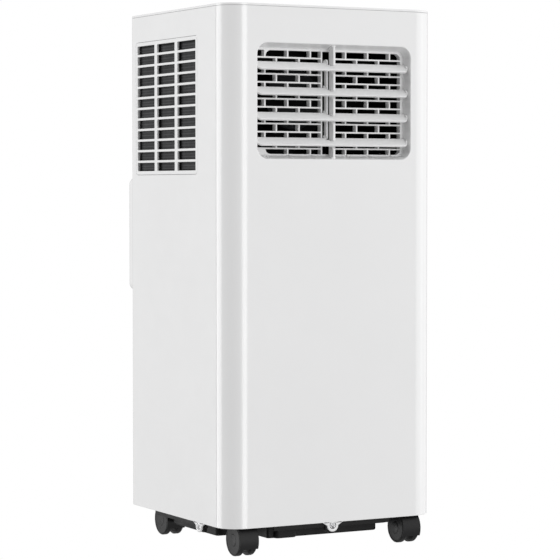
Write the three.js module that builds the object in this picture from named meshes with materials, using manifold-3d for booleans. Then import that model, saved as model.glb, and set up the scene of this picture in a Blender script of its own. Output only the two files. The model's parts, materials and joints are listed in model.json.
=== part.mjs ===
// Portable air conditioner on four twin-wheel casters, in millimetres.
// The origin is on the floor under the centre of the plan. +Z is up, the cold-air vent faces -Y.
import * as THREE from "three";
import { mergeVertices } from "three/addons/utils/BufferGeometryUtils.js";
import Module from "manifold-3d";

// ---------------------------------------------------------------- driving dimensions

const GAP = 0.3;
const GRID = 0.002;
const BODY_WIDTH = 290;
const BODY_FRONT = -142.5;
const BODY_REAR = 124.5;
const EXHAUST_REAR = 142.5;
const SHELL_BOTTOM = 35;
const BODY_TOP = 656;
const WALL = 2.5;
const LID_EDGE = 2.7;
const SHELL_TOP = BODY_TOP - LID_EDGE - GAP;
const FRONT_CORNER_X = 30;
const FRONT_CORNER_Y = 25.7;
const REAR_CORNER = 9;
const SIDE = BODY_WIDTH / 2;
const FRONT_SEAM = BODY_FRONT + FRONT_CORNER_Y;
const REAR_SEAM = SIDE - REAR_CORNER - 2;
const BODY_MIDDLE = (BODY_FRONT + BODY_REAR) / 2;

const VENT = { x: 2.85, halfWidth: 105.8, bottom: 473, top: 610, corner: 14, depth: 17.6 };
const GRILLE_FRONT = BODY_FRONT + VENT.depth + GAP;
const GRILLE_DEPTH = 8;
const BRICK = { rows: 13, top: 602.5, bottom: 479, firstBar: 594, pitch: 9.845, bar: 1.9, rib: 2 };
const BRICK_HALF_WIDTH = 101.7;
const BRICK_STRIP = 9.1;
const BRICK_FIRST_RIB = 24.5;
const BRICK_RIB_STEP = 15.5;

const LOUVER_COUNT = 4;
const LOUVER_PITCH = 30;
const LOUVER_TOP_PIVOT = 583.7;
const LOUVER_TILT = THREE.MathUtils.degToRad(37);
const LOUVER_PIVOT_Y = BODY_FRONT + 8.4;
const LOUVER_HALF_CHORD = 7.7;
const LOUVER_HALF_SPAN = 105;
const BAR_NOTCH = { left: -2.2, right: 2.5, front: 1.4 };
const LINK_NOTCH = { left: -5.8, right: -2, front: 3.9 };
const LINK_LUG = { left: -7, right: -5.8, radius: 1.8, web: 1 };
const SUPPORT_BAR = { left: -1.2, right: 1.4, front: 3.2, back: 14.5, chamfer: 0.5 };
const SWING_GAP = { above: 1.9, below: 8.2, run: 3.2, heel: 1 };
const LINK_BAR = { left: -4.8, right: -2.7, halfDepth: 3.2, bore: 1.3 };
const LINK_ARM = 10.4;

const SIDE_GRILLE = { columns: 3, rows: 12, middleY: 19.6, top: 616.4, pitchY: 57.1, pitchZ: 13.3 };
const SIDE_HOLE = { width: 49.3, height: 10.4 };
const SIDE_BORDER = 4.6;

const EXHAUST = { halfWidth: 140, bottom: 308, top: 452, z: 380, bore: 64 };

const CASTER = { stemX: 113, stemY: 99, trail: 12, wheelRadius: 19, halfWidth: 12.5 };
const BASE_PLATE = { bottom: 42, top: 45 };
const PAN_BOTTOM = 17;

const TAB = { bottom: 23.5, screwZ: 31, halfTop: 14, sideY: -68.5 };

const CONTROL = { halfWidth: 90, front: -121, rear: -52, middleY: -86 };
const BUTTONS = [
  ["button_power", -75],
  ["button_mode", -55],
  ["button_down", -35],
  ["button_up", 35],
  ["button_speed", 55],
  ["button_timer", 75],
];

// ---------------------------------------------------------------- materials

const finish = (color, roughness, metalness = 0) =>
  new THREE.MeshStandardMaterial({ color, roughness, metalness });
const WHITE = finish(0xf2f2f2, 0.28);
const WHITE_SATIN = finish(0xe9e9ea, 0.4);
const BLACK = finish(0x1c1c1d, 0.55);
const CASTER_BLACK = finish(0x2a2a2b, 0.5);
const MESH_GREY = finish(0x4a4b4d, 0.85);
const GLASS = finish(0x101214, 0.1);
const BUTTON_GREY = finish(0xd9dadc, 0.4);
const BOARD_GREEN = finish(0x1f5a35, 0.6);
const STEEL = finish(0xb9bcc0, 0.35, 1);
const ALUMINIUM = finish(0xc9cbcd, 0.4, 1);
const COPPER = finish(0xb87350, 0.35, 1);
const COMPRESSOR_BLACK = finish(0x222426, 0.4, 0.4);
const MOTOR_BLACK = finish(0x26272a, 0.6, 0.3);
const DUCT_BLACK = finish(0x1b1b1c, 0.8);
const RUBBER = finish(0x161616, 0.8);

// ---------------------------------------------------------------- solids and shapes

const wasm = await Module();
wasm.setup();

// A closed three.js geometry as a solid that can be joined and cut. Its points are set on a fine grid
// so that shared corners merge, and the triangles that this flattens are dropped.
function solid(geometry) {
  const bare = geometry.clone();
  bare.deleteAttribute("normal");
  bare.deleteAttribute("uv");
  const points = bare.attributes.position.array;
  points.forEach((value, i) => {
    points[i] = Math.round(value / GRID) * GRID;
  });
  const merged = mergeVertices(bare, GRID / 2);
  const corners = merged.index.array;
  const kept = [];
  for (let i = 0; i < corners.length; i += 3) {
    const [a, b, c] = corners.slice(i, i + 3);
    if (a !== b && b !== c && c !== a) kept.push(a, b, c);
  }
  return new wasm.Manifold(
    new wasm.Mesh({
      numProp: 3,
      vertProperties: new Float32Array(merged.attributes.position.array),
      triVerts: new Uint32Array(kept),
    }),
  );
}

function geometryOf(made) {
  const mesh = made.getMesh();
  const geometry = new THREE.BufferGeometry();
  geometry.setAttribute("position", new THREE.BufferAttribute(mesh.vertProperties, 3));
  geometry.setIndex(new THREE.BufferAttribute(mesh.triVerts, 1));
  geometry.computeVertexNormals();
  return geometry;
}

const join = (solids) => solids.reduce((all, next) => all.add(next));
const cut = (from, solids) => solids.reduce((rest, next) => rest.subtract(next), from);

function box([x0, x1], [y0, y1], [z0, z1]) {
  const geometry = new THREE.BoxGeometry(x1 - x0, y1 - y0, z1 - z0);
  geometry.translate((x0 + x1) / 2, (y0 + y1) / 2, (z0 + z1) / 2);
  return solid(geometry);
}

// Turns that take an outline drawn in XY and extruded up Z onto the other two axes.
// "x": the outline's axes are Y and Z, pushed along +X. "y": they are X and Z, pushed along +Y.
function alongAxis(geometry, axis, from, length) {
  if (axis === "x") {
    geometry.rotateX(Math.PI / 2);
    geometry.rotateZ(Math.PI / 2);
    return geometry.translate(from, 0, 0);
  }
  if (axis === "y") {
    geometry.rotateX(Math.PI / 2);
    return geometry.translate(0, from + length, 0);
  }
  return geometry.translate(0, 0, from);
}

function prism(shape, axis, from, to, curveSegments = 3) {
  const depth = to - from;
  const geometry = new THREE.ExtrudeGeometry(shape, { depth, bevelEnabled: false, curveSegments });
  return solid(alongAxis(geometry, axis, from, depth));
}

function circle(radius, [a, b], segments) {
  const points = [];
  for (let i = 0; i < segments; i += 1) {
    const angle = (i / segments) * 2 * Math.PI;
    points.push(new THREE.Vector2(a + radius * Math.cos(angle), b + radius * Math.sin(angle)));
  }
  return points;
}

function rod(radius, axis, [from, to], centre, segments = 20) {
  return prism(new THREE.Shape(circle(radius, centre, segments)), axis, from, to);
}

function roundedPath(path, x0, x1, y0, y1, r) {
  path.moveTo(x0 + r, y0);
  path.lineTo(x1 - r, y0);
  path.absarc(x1 - r, y0 + r, r, -Math.PI / 2, 0, false);
  path.lineTo(x1, y1 - r);
  path.absarc(x1 - r, y1 - r, r, 0, Math.PI / 2, false);
  path.lineTo(x0 + r, y1);
  path.absarc(x0 + r, y1 - r, r, Math.PI / 2, Math.PI, false);
  path.lineTo(x0, y0 + r);
  path.absarc(x0 + r, y0 + r, r, Math.PI, 1.5 * Math.PI, false);
  return path;
}

const roundedRect = (x0, x1, y0, y1, r) => roundedPath(new THREE.Shape(), x0, x1, y0, y1, r);

// A box through a plate that lies across an axis: "x" takes (Y, Z) sides, "y" takes (X, Z) sides.
function window(axis, through, [a0, a1], [b0, b1]) {
  return axis === "x" ? box(through, [a0, a1], [b0, b1]) : box([a0, a1], through, [b0, b1]);
}

function roundHole(x, y, radius, segments) {
  return new THREE.Path(circle(radius, [x, y], segments).reverse());
}

// A closed skin through rounded rectangles in XZ, one per station along Y. The outlines are convex.
function loftAlongY(stations) {
  const rings = stations.map(({ y, halfWidth, bottom, top, corner }) =>
    roundedRect(-halfWidth, halfWidth, bottom, top, corner)
      .getPoints(3)
      .slice(0, -1)
      .map((p) => [p.x, y, p.y]),
  );
  const count = rings[0].length;
  const index = [];
  const last = (rings.length - 1) * count;
  for (let i = 0; i < count; i += 1) {
    const next = (i + 1) % count;
    if (i > 0 && next > 0) {
      index.push(0, i, next);
      index.push(last, last + next, last + i);
    }
    for (let row = 0; row < rings.length - 1; row += 1) {
      const a = row * count;
      const b = a + count;
      index.push(a + i, b + i, b + next);
      index.push(a + i, b + next, a + next);
    }
  }
  const geometry = new THREE.BufferGeometry();
  geometry.setAttribute("position", new THREE.Float32BufferAttribute(rings.flat(2), 3));
  geometry.setIndex(index);
  return solid(geometry);
}

// The plan outline of the cabinet, moved inwards by inset.
function shellOutline(inset) {
  const x = SIDE - FRONT_CORNER_X;
  const y = BODY_FRONT + FRONT_CORNER_Y;
  const rx = FRONT_CORNER_X - inset;
  const ry = FRONT_CORNER_Y - inset;
  const cx = SIDE - REAR_CORNER;
  const cy = BODY_REAR - REAR_CORNER;
  const r = REAR_CORNER - inset;
  const shape = new THREE.Shape();
  shape.moveTo(-x, y - ry);
  shape.lineTo(x, y - ry);
  shape.absellipse(x, y, rx, ry, -Math.PI / 2, 0, false);
  shape.lineTo(cx + r, cy);
  shape.absarc(cx, cy, r, 0, Math.PI / 2, false);
  shape.lineTo(-cx, cy + r);
  shape.absarc(-cx, cy, r, Math.PI / 2, Math.PI, false);
  shape.lineTo(-x - rx, y);
  shape.absellipse(-x, y, rx, ry, Math.PI, 1.5 * Math.PI, false);
  return shape;
}

const root = new THREE.Group();

function addPiece(name, made, material, parent = root) {
  const mesh = new THREE.Mesh(geometryOf(made), material);
  mesh.name = name;
  parent.add(mesh);
  return mesh;
}

// ---------------------------------------------------------------- casing

const shellRing = cut(prism(shellOutline(0), "z", SHELL_BOTTOM, SHELL_TOP), [
  prism(shellOutline(WALL), "z", SHELL_BOTTOM - 1, SHELL_TOP + 1),
]);

// A screw tab hanging from a panel's lower edge: a trapezium with a round end, in (along, Z).
function tabShape(middle) {
  const radius = 7.5;
  const shape = new THREE.Shape();
  shape.moveTo(middle - TAB.halfTop, SHELL_BOTTOM + 4);
  shape.lineTo(middle - TAB.halfTop, SHELL_BOTTOM);
  shape.lineTo(middle - radius, TAB.bottom + radius);
  shape.absarc(middle, TAB.bottom + radius, radius, Math.PI, 2 * Math.PI, false);
  shape.lineTo(middle + TAB.halfTop, SHELL_BOTTOM);
  shape.lineTo(middle + TAB.halfTop, SHELL_BOTTOM + 4);
  shape.holes.push(roundHole(middle, TAB.screwZ, 4.3, 12));
  return shape;
}

function frontPanel() {
  const skin = shellRing.intersect(
    box([-SIDE - 1, SIDE + 1], [BODY_FRONT - 1, FRONT_SEAM - GAP / 2], [0, BODY_TOP]),
  );
  const collar = prism(
    roundedRect(
      VENT.x - VENT.halfWidth - 3.2,
      VENT.x + VENT.halfWidth + 3.2,
      VENT.bottom - 4.6,
      VENT.top + 4.6,
      17,
    ),
    "y",
    BODY_FRONT + 1,
    BODY_FRONT + VENT.depth,
  );
  const mouth = (y, grow, corner) => ({
    y: BODY_FRONT + y,
    halfWidth: VENT.halfWidth + grow,
    bottom: VENT.bottom - grow,
    top: VENT.top + grow,
    corner,
  });
  const throat = loftAlongY([
    mouth(-1, 1.6, 15.6),
    mouth(0, 1.2, 15.2),
    mouth(0.6, 0.4, 14.4),
    mouth(1.4, 0, VENT.corner),
    {
      y: BODY_FRONT + VENT.depth + 1,
      halfWidth: VENT.halfWidth - 0.3,
      bottom: VENT.bottom + 5.2,
      top: VENT.top - 5.6,
      corner: 9,
    },
  ]).translate([VENT.x, 0, 0]);
  const tab = prism(tabShape(0), "y", BODY_FRONT, BODY_FRONT + WALL, 3);
  const pinHoles = [];
  for (let i = 0; i < LOUVER_COUNT; i += 1) {
    const z = LOUVER_TOP_PIVOT - i * LOUVER_PITCH;
    for (const side of [-1, 1]) {
      const middle = VENT.x + side * VENT.halfWidth;
      pinHoles.push(rod(1.9, "x", [middle - 5, middle + 5], [LOUVER_PIVOT_Y, z], 8));
    }
  }
  return cut(join([skin, collar, tab]), [throat, ...pinHoles]);
}

const GRILLE_Z = {
  bottom: SIDE_GRILLE.top - 11 * SIDE_GRILLE.pitchZ - SIDE_HOLE.height - SIDE_BORDER,
  top: SIDE_GRILLE.top + SIDE_BORDER,
};
const GRILLE_HALF_Y = SIDE_GRILLE.pitchY + SIDE_HOLE.width / 2 + SIDE_BORDER;

// One side of the cabinet: -1 is the left side, +1 the right, as seen from the front.
function sidePanel(sign) {
  const inner = sign * REAR_SEAM;
  const reach = sign < 0 ? [-SIDE - 1, inner] : [inner, SIDE + 1];
  const skin = shellRing.intersect(box(reach, [FRONT_SEAM + GAP / 2, BODY_REAR + 1], [0, BODY_TOP]));
  const face = sign < 0 ? [-SIDE, -SIDE + WALL] : [SIDE - WALL, SIDE];
  const tab = prism(tabShape(TAB.sideY), "x", face[0], face[1], 3);
  const opening = prism(
    roundedRect(
      SIDE_GRILLE.middleY - GRILLE_HALF_Y - GAP,
      SIDE_GRILLE.middleY + GRILLE_HALF_Y + GAP,
      GRILLE_Z.bottom - GAP,
      GRILLE_Z.top + GAP,
      5,
    ),
    "x",
    face[0] - 5,
    face[1] + 5,
    3,
  );
  return cut(join([skin, tab]), [opening]);
}

function intakeGrille(sign) {
  const y0 = SIDE_GRILLE.middleY - GRILLE_HALF_Y;
  const y1 = SIDE_GRILLE.middleY + GRILLE_HALF_Y;
  const through = [sign * SIDE - 5, sign * SIDE + 5];
  const holes = [];
  for (let column = 0; column < SIDE_GRILLE.columns; column += 1) {
    const y = SIDE_GRILLE.middleY + (column - 1) * SIDE_GRILLE.pitchY;
    for (let row = 0; row < SIDE_GRILLE.rows; row += 1) {
      const z = SIDE_GRILLE.top - row * SIDE_GRILLE.pitchZ;
      const half = SIDE_HOLE.width / 2;
      holes.push(window("x", through, [y - half, y + half], [z - SIDE_HOLE.height, z]));
    }
  }
  const plate = roundedRect(y0, y1, GRILLE_Z.bottom, GRILLE_Z.top, 4.7);
  const rim = roundedRect(y0 + 0.6, y1 - 0.6, GRILLE_Z.bottom + 0.6, GRILLE_Z.top - 0.6, 4.2);
  const outer = sign < 0 ? [-SIDE, -SIDE + WALL] : [SIDE - WALL, SIDE];
  const rimRange = sign < 0 ? [-SIDE + WALL, -SIDE + 7.5] : [SIDE - 7.5, SIDE - WALL];
  const inside = window(
    "x",
    sign < 0 ? [rimRange[0], rimRange[1] + 1] : [rimRange[0] - 1, rimRange[1]],
    [y0 + 2.4, y1 - 2.4],
    [GRILLE_Z.bottom + 2.4, GRILLE_Z.top - 2.4],
  );
  const rimWall = cut(prism(rim, "x", ...rimRange, 3), [inside]);
  return cut(join([prism(plate, "x", outer[0], outer[1], 3), rimWall]), holes);
}

// The mesh of the dust filter in its thin frame, held by the rim of the grille.
function filter(sign) {
  const clear = 2.4 + GAP;
  const range = sign < 0 ? [-SIDE + 4.5, -SIDE + 6.5] : [SIDE - 6.5, SIDE - 4.5];
  return box(
    range,
    [SIDE_GRILLE.middleY - GRILLE_HALF_Y + clear, SIDE_GRILLE.middleY + GRILLE_HALF_Y - clear],
    [GRILLE_Z.bottom + clear, GRILLE_Z.top - clear],
  );
}

const DRAIN = { x: 96, z: 66 };
const GLAND = { x: -104, z: 66 };
const REAR_SLOT = { height: 10, pitch: 19 };
const REAR_SLOT_ROWS = [
  [6, 618],
  [7, 258],
];

function rearPanel() {
  const half = REAR_SEAM - GAP;
  const plate = new THREE.Shape();
  roundedPath(plate, -half, half, SHELL_BOTTOM, SHELL_TOP, 0.5);
  const slots = [];
  for (const [rows, top] of REAR_SLOT_ROWS) {
    for (let row = 0; row < rows; row += 1) {
      for (const x of [-50, 50]) {
        const z = top - row * REAR_SLOT.pitch;
        const span = [z - REAR_SLOT.height, z];
        slots.push(window("y", [BODY_REAR - 5, BODY_REAR + 5], [x - 46, x + 46], span));
      }
    }
  }
  plate.holes.push(roundHole(0, EXHAUST.z, EXHAUST.bore, 32));
  plate.holes.push(roundHole(DRAIN.x, DRAIN.z, 6.6, 12));
  plate.holes.push(roundHole(GLAND.x, GLAND.z, 7.6, 12));
  return cut(prism(plate, "y", BODY_REAR - WALL, BODY_REAR), slots);
}

function exhaustHousing() {
  const station = (y, inset, corner) => ({
    y,
    halfWidth: EXHAUST.halfWidth - inset,
    bottom: EXHAUST.bottom + inset,
    top: EXHAUST.top - inset,
    corner,
  });
  const outside = loftAlongY([
    station(BODY_REAR + GAP, 0, 9),
    station(EXHAUST_REAR - 6, 0, 9),
    station(EXHAUST_REAR - 3, 0.8, 8.6),
    station(EXHAUST_REAR - 0.8, 3, 7.8),
    station(EXHAUST_REAR, 6, 7),
  ]);
  const inside = box(
    [-EXHAUST.halfWidth + 3, EXHAUST.halfWidth - 3],
    [BODY_REAR - 1, EXHAUST_REAR - WALL - 0.5],
    [EXHAUST.bottom + 3, EXHAUST.top - 3],
  );
  return cut(outside, [inside, rod(67.4, "y", [120, 150], [0, EXHAUST.z], 32)]);
}

// The spigot that the exhaust hose pushes onto, with its screwed flange.
function exhaustCollar() {
  const from = BODY_REAR + GAP;
  const flange = rod(68.6, "y", [from, from + 2.5], [0, EXHAUST.z], 32);
  const tube = rod(66.5, "y", [from, EXHAUST_REAR - 0.5], [0, EXHAUST.z], 32);
  return cut(join([flange, tube]), [rod(EXHAUST.bore, "y", [120, 150], [0, EXHAUST.z], 32)]);
}

function topCover() {
  const plate = prism(shellOutline(0), "z", BODY_TOP - LID_EDGE, BODY_TOP);
  const skirt = cut(prism(shellOutline(WALL + 0.4), "z", 642, BODY_TOP - 1), [
    prism(shellOutline(WALL + 2.4), "z", 641, BODY_TOP - LID_EDGE),
  ]);
  const opening = prism(
    roundedRect(-CONTROL.halfWidth, CONTROL.halfWidth, CONTROL.front, CONTROL.rear, 8),
    "z",
    630,
    BODY_TOP + 1,
    2,
  );
  return cut(join([plate, skirt]), [opening]);
}

function panBody(z0, z1, inset, bump) {
  const pieces = [
    box([-121 + inset, 121 - inset], [-70 + inset, 52 - inset], [z0, z1]),
    box([-76.5 + inset, 76.5 - inset], [-117 + inset, 99 - inset], [z0, z1]),
  ];
  if (bump) {
    pieces.push(prism(roundedRect(-68, -38, -123, -100, 5), "z", z0, z1, 2));
  }
  return join(pieces);
}

function stemBosses(radius, z0, z1) {
  const bosses = [];
  for (const x of [-CASTER.stemX, CASTER.stemX]) {
    for (const y of [BODY_MIDDLE - CASTER.stemY, BODY_MIDDLE + CASTER.stemY]) {
      bosses.push(rod(radius, "z", [z0, z1], [x, y], 8));
    }
  }
  return bosses;
}

function baseTray() {
  const plate = prism(shellOutline(WALL + 0.4), "z", BASE_PLATE.bottom, BASE_PLATE.top);
  const pan = panBody(PAN_BOTTOM, BASE_PLATE.top, 0, true);
  const lipTop = BASE_PLATE.top;
  const lips = [
    box([-79, 82], [BODY_FRONT + 4.5, BODY_FRONT + 7.5], [29, lipTop]),
    box([-79, 79], [BODY_REAR - 7.5, BODY_REAR - 4.5], [29, lipTop]),
    box([-SIDE + 4.5, -SIDE + 7.5], [-80, 62], [29, lipTop]),
    box([SIDE - 7.5, SIDE - 4.5], [-80, 62], [29, lipTop]),
    box([-9, 9], [BODY_FRONT + 3, BODY_FRONT + 7.5], [24, lipTop]),
    box([-SIDE + 3, -SIDE + 7.5], [TAB.sideY - 9, TAB.sideY + 9], [24, lipTop]),
    box([SIDE - 7.5, SIDE - 3], [TAB.sideY - 9, TAB.sideY + 9], [24, lipTop]),
  ];
  const bosses = stemBosses(9, BASE_PLATE.bottom, 62);
  return cut(join([plate, pan, ...lips, ...bosses]), [
    panBody(PAN_BOTTOM + 3, BASE_PLATE.top + 1, 3, false),
    ...stemBosses(4.8, BASE_PLATE.bottom - 1, 60),
    rod(2.4, "y", [BODY_FRONT, BODY_FRONT + 10], [0, TAB.screwZ], 12),
    rod(2.4, "x", [-SIDE, -SIDE + 10], [TAB.sideY, TAB.screwZ], 12),
    rod(2.4, "x", [SIDE - 10, SIDE], [TAB.sideY, TAB.screwZ], 12),
  ]);
}

// A pan-head screw whose head sits in the tab; it points along the given axis.
function tabScrew(axis, at, outward) {
  const out = outward * (SIDE - 0.4);
  const face = axis === "y" ? BODY_FRONT + 0.4 : out;
  const inward = axis === "y" ? 1 : -outward;
  const along = (a, b) => [face + inward * a, face + inward * b].sort((p, q) => p - q);
  const headBack = 2;
  const head = rod(3.7, axis, along(0, headBack), at, 16);
  const shank = rod(2, axis, along(headBack - 0.2, 8.6), at, 12);
  const slot =
    axis === "y"
      ? box([at[0] - 2.4, at[0] + 2.4], along(-1, 0.8), [at[1] - 0.4, at[1] + 0.4])
      : box(along(-1, 0.8), [at[0] - 2.4, at[0] + 2.4], [at[1] - 0.4, at[1] + 0.4]);
  return cut(join([head, shank]), [slot]);
}

addPiece("front_panel", frontPanel(), WHITE);
addPiece("left_side_panel", sidePanel(-1), WHITE);
addPiece("right_side_panel", sidePanel(1), WHITE);
addPiece("rear_panel", rearPanel(), WHITE);
addPiece("exhaust_housing", exhaustHousing(), WHITE);
addPiece("exhaust_collar", exhaustCollar(), WHITE_SATIN);
addPiece("top_cover", topCover(), WHITE);
addPiece("base_tray", baseTray(), BLACK);
addPiece("left_intake_grille", intakeGrille(-1), WHITE);
addPiece("right_intake_grille", intakeGrille(1), WHITE);
addPiece("left_filter", filter(-1), MESH_GREY);
addPiece("right_filter", filter(1), MESH_GREY);
addPiece("front_tab_screw", tabScrew("y", [0, TAB.screwZ], 0), STEEL);
addPiece("left_tab_screw", tabScrew("x", [TAB.sideY, TAB.screwZ], -1), STEEL);
addPiece("right_tab_screw", tabScrew("x", [TAB.sideY, TAB.screwZ], 1), STEEL);

// ---------------------------------------------------------------- air outlet

function ventGrille() {
  const range = [GRILLE_FRONT, GRILLE_FRONT + GRILLE_DEPTH];
  const through = [range[0] - 1, range[1] + 1];
  const strip = BRICK_STRIP - BRICK.rib / 2;
  const holes = [window("y", through, [-strip, strip], [BRICK.bottom, BRICK.top])];
  for (let row = 0; row < BRICK.rows; row += 1) {
    const barAbove = BRICK.firstBar - (row - 1) * BRICK.pitch;
    const top = row === 0 ? BRICK.top : barAbove - BRICK.bar / 2;
    const bottom =
      row === BRICK.rows - 1 ? BRICK.bottom : barAbove - BRICK.pitch + BRICK.bar / 2;
    const shift = row % 2 ? BRICK_RIB_STEP : 0;
    const walls = [BRICK_STRIP];
    for (let x = BRICK_FIRST_RIB + shift; x < BRICK_HALF_WIDTH - 4; x += 2 * BRICK_RIB_STEP) {
      walls.push(x);
    }
    walls.push(BRICK_HALF_WIDTH + BRICK.rib / 2);
    for (let i = 0; i + 1 < walls.length; i += 1) {
      const x0 = walls[i] + BRICK.rib / 2;
      const x1 = walls[i + 1] - BRICK.rib / 2;
      const closedCorner = row === BRICK.rows - 1 && i + 2 === walls.length;
      holes.push(window("y", through, [x0, x1], [bottom, top]));
      if (!closedCorner) holes.push(window("y", through, [-x1, -x0], [bottom, top]));
    }
  }
  const plate = roundedRect(-108, 108, VENT.bottom - 3, VENT.top + 3, 12);
  return cut(prism(plate, "y", ...range, 4), holes).translate([VENT.x, 0, 0]);
}

// The fixed post in front of the grille: a thin, deep rib whose ends follow the sloping floor and
// ceiling of the recess, cut away round each louver's pivot so that the blade passes across it.
function supportBar() {
  const front = BODY_FRONT + SUPPORT_BAR.front;
  const back = BODY_FRONT + SUPPORT_BAR.back;
  const c = SUPPORT_BAR.chamfer;
  const side = new THREE.Shape();
  side.moveTo(front, VENT.bottom + 1.1);
  side.lineTo(back, VENT.bottom + 4.8);
  side.lineTo(back, VENT.top - 5.2);
  side.lineTo(front, VENT.top - 1.2);
  const rib = prism(side, "x", SUPPORT_BAR.left, SUPPORT_BAR.right);
  const plan = new THREE.Shape();
  plan.moveTo(SUPPORT_BAR.left, back + 1);
  plan.lineTo(SUPPORT_BAR.left, front + c);
  plan.lineTo(SUPPORT_BAR.left + c, front);
  plan.lineTo(SUPPORT_BAR.right - c, front);
  plan.lineTo(SUPPORT_BAR.right, front + c);
  plan.lineTo(SUPPORT_BAR.right, back + 1);
  const gaps = [];
  for (let i = 0; i < LOUVER_COUNT; i += 1) {
    const z = LOUVER_TOP_PIVOT - i * LOUVER_PITCH;
    const heelAngle = -Math.asin(SWING_GAP.heel / SWING_GAP.above);
    const gap = new THREE.Shape();
    gap.moveTo(front - 1, z + SWING_GAP.above);
    gap.lineTo(front - 1, z - SWING_GAP.below);
    gap.lineTo(LOUVER_PIVOT_Y - SWING_GAP.run, z - SWING_GAP.below);
    gap.absarc(LOUVER_PIVOT_Y, z, SWING_GAP.above, heelAngle, Math.PI / 2, false);
    gaps.push(prism(gap, "x", SUPPORT_BAR.left - 1, SUPPORT_BAR.right + 1, 3));
  }
  const post = rib.intersect(prism(plan, "z", VENT.bottom, VENT.top));
  return cut(post, gaps).translate([VENT.x, 0, 0]);
}

// One louver in its own frame: chord along Y, lip towards -Y, pivot axis along X through the origin.
function louver() {
  const profile = new THREE.Shape();
  const c = LOUVER_HALF_CHORD;
  profile.moveTo(-c, -1.2);
  profile.lineTo(-c + 1.8, -0.8);
  profile.lineTo(c, -0.6);
  profile.lineTo(c, 0.6);
  profile.lineTo(-c + 1.8, 0.8);
  profile.lineTo(-c, 1.2);
  const blade = prism(profile, "x", -LOUVER_HALF_SPAN, LOUVER_HALF_SPAN);
  const plan = new THREE.Shape();
  const rx = 6.5;
  const ry = 9;
  const x = LOUVER_HALF_SPAN;
  plan.moveTo(-x, c + 1);
  plan.lineTo(-x, -c + ry);
  plan.absellipse(-x + rx, -c + ry, rx, ry, Math.PI, 1.5 * Math.PI, false);
  plan.lineTo(x - rx, -c);
  plan.absellipse(x - rx, -c + ry, rx, ry, -Math.PI / 2, 0, false);
  plan.lineTo(x, c + 1);
  const trimmed = blade.intersect(prism(plan, "z", -3, 3, 2));
  const notches = [BAR_NOTCH, LINK_NOTCH].map(({ left, right, front }) =>
    box([left, right], [front, c + 1], [-3, 3]),
  );
  const ends = [];
  for (const side of [-1, 1]) {
    const span = (a, b) => [side * a, side * b].sort((p, q) => p - q);
    ends.push(rod(3.2, "x", span(x - 1.5, x), [0.6, 0.4], 12));
    ends.push(rod(1.4, "x", span(x - 2, x + 3.6), [0, 0], 8));
  }
  const lugSpan = [LINK_LUG.left, LINK_LUG.right];
  const lug = join([
    box(lugSpan, [c - 2, LINK_ARM], [-LINK_LUG.web, LINK_LUG.web]),
    rod(LINK_LUG.radius, "x", lugSpan, [LINK_ARM, 0], 10),
    rod(0.9, "x", [LINK_LUG.left, LINK_BAR.right + 0.4], [LINK_ARM, 0], 8),
  ]);
  return join([cut(trimmed, notches), ...ends, lug]);
}

function linkBar(pinY, firstPinZ) {
  const { left, right, halfDepth, bore } = LINK_BAR;
  const lowest = firstPinZ - (LOUVER_COUNT - 1) * LOUVER_PITCH;
  const side = roundedRect(
    pinY - halfDepth,
    pinY + halfDepth,
    lowest - halfDepth,
    firstPinZ + halfDepth,
    halfDepth - 0.1,
  );
  for (let i = 0; i < LOUVER_COUNT; i += 1) {
    side.holes.push(roundHole(pinY, firstPinZ - i * LOUVER_PITCH, bore, 8));
  }
  return prism(side, "x", VENT.x + left, VENT.x + right, 2);
}

addPiece("vent_grille", ventGrille(), WHITE);
addPiece("louver_support_bar", supportBar(), WHITE_SATIN);
for (let i = 0; i < LOUVER_COUNT; i += 1) {
  const blade = addPiece(`louver_${i + 1}`, louver(), WHITE_SATIN);
  blade.position.set(VENT.x, LOUVER_PIVOT_Y, LOUVER_TOP_PIVOT - i * LOUVER_PITCH);
  blade.rotation.x = LOUVER_TILT;
}
const linkPinY = LOUVER_PIVOT_Y + LINK_ARM * Math.cos(LOUVER_TILT);
const linkPinZ = LOUVER_TOP_PIVOT + LINK_ARM * Math.sin(LOUVER_TILT);
addPiece("louver_link_bar", linkBar(linkPinY, linkPinZ), WHITE_SATIN);

// ---------------------------------------------------------------- controls

const KEY = { halfX: 6.5, halfY: 10, corner: 4 };
const DISPLAY = { halfX: 20, halfY: 14, corner: 3 };

function centredRect({ halfX, halfY, corner }, x, y, grow) {
  return [x - halfX - grow, x + halfX + grow, y - halfY - grow, y + halfY + grow, corner];
}

function controlPanel() {
  const inset = GAP;
  const plate = roundedRect(
    -CONTROL.halfWidth + inset,
    CONTROL.halfWidth - inset,
    CONTROL.front + inset,
    CONTROL.rear - inset,
    7.7,
  );
  for (const [, x] of BUTTONS) {
    plate.holes.push(
      roundedPath(new THREE.Path(), ...centredRect(KEY, x, CONTROL.middleY, 0)),
    );
  }
  plate.holes.push(
    roundedPath(new THREE.Path(), ...centredRect(DISPLAY, 0, CONTROL.middleY, 0)),
  );
  return prism(plate, "z", 652, BODY_TOP - 0.6, 1);
}

function controlBoard() {
  const board = box([-84, 84], [-116, -58], [640, 641.6]);
  const parts = BUTTONS.map(([, x]) =>
    box([x - 3, x + 3], [CONTROL.middleY - 3, CONTROL.middleY + 3], [641, 648.6]),
  );
  parts.push(box([-17, 17], [CONTROL.middleY - 11, CONTROL.middleY + 11], [641, 650]));
  return join([board, ...parts]);
}

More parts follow.
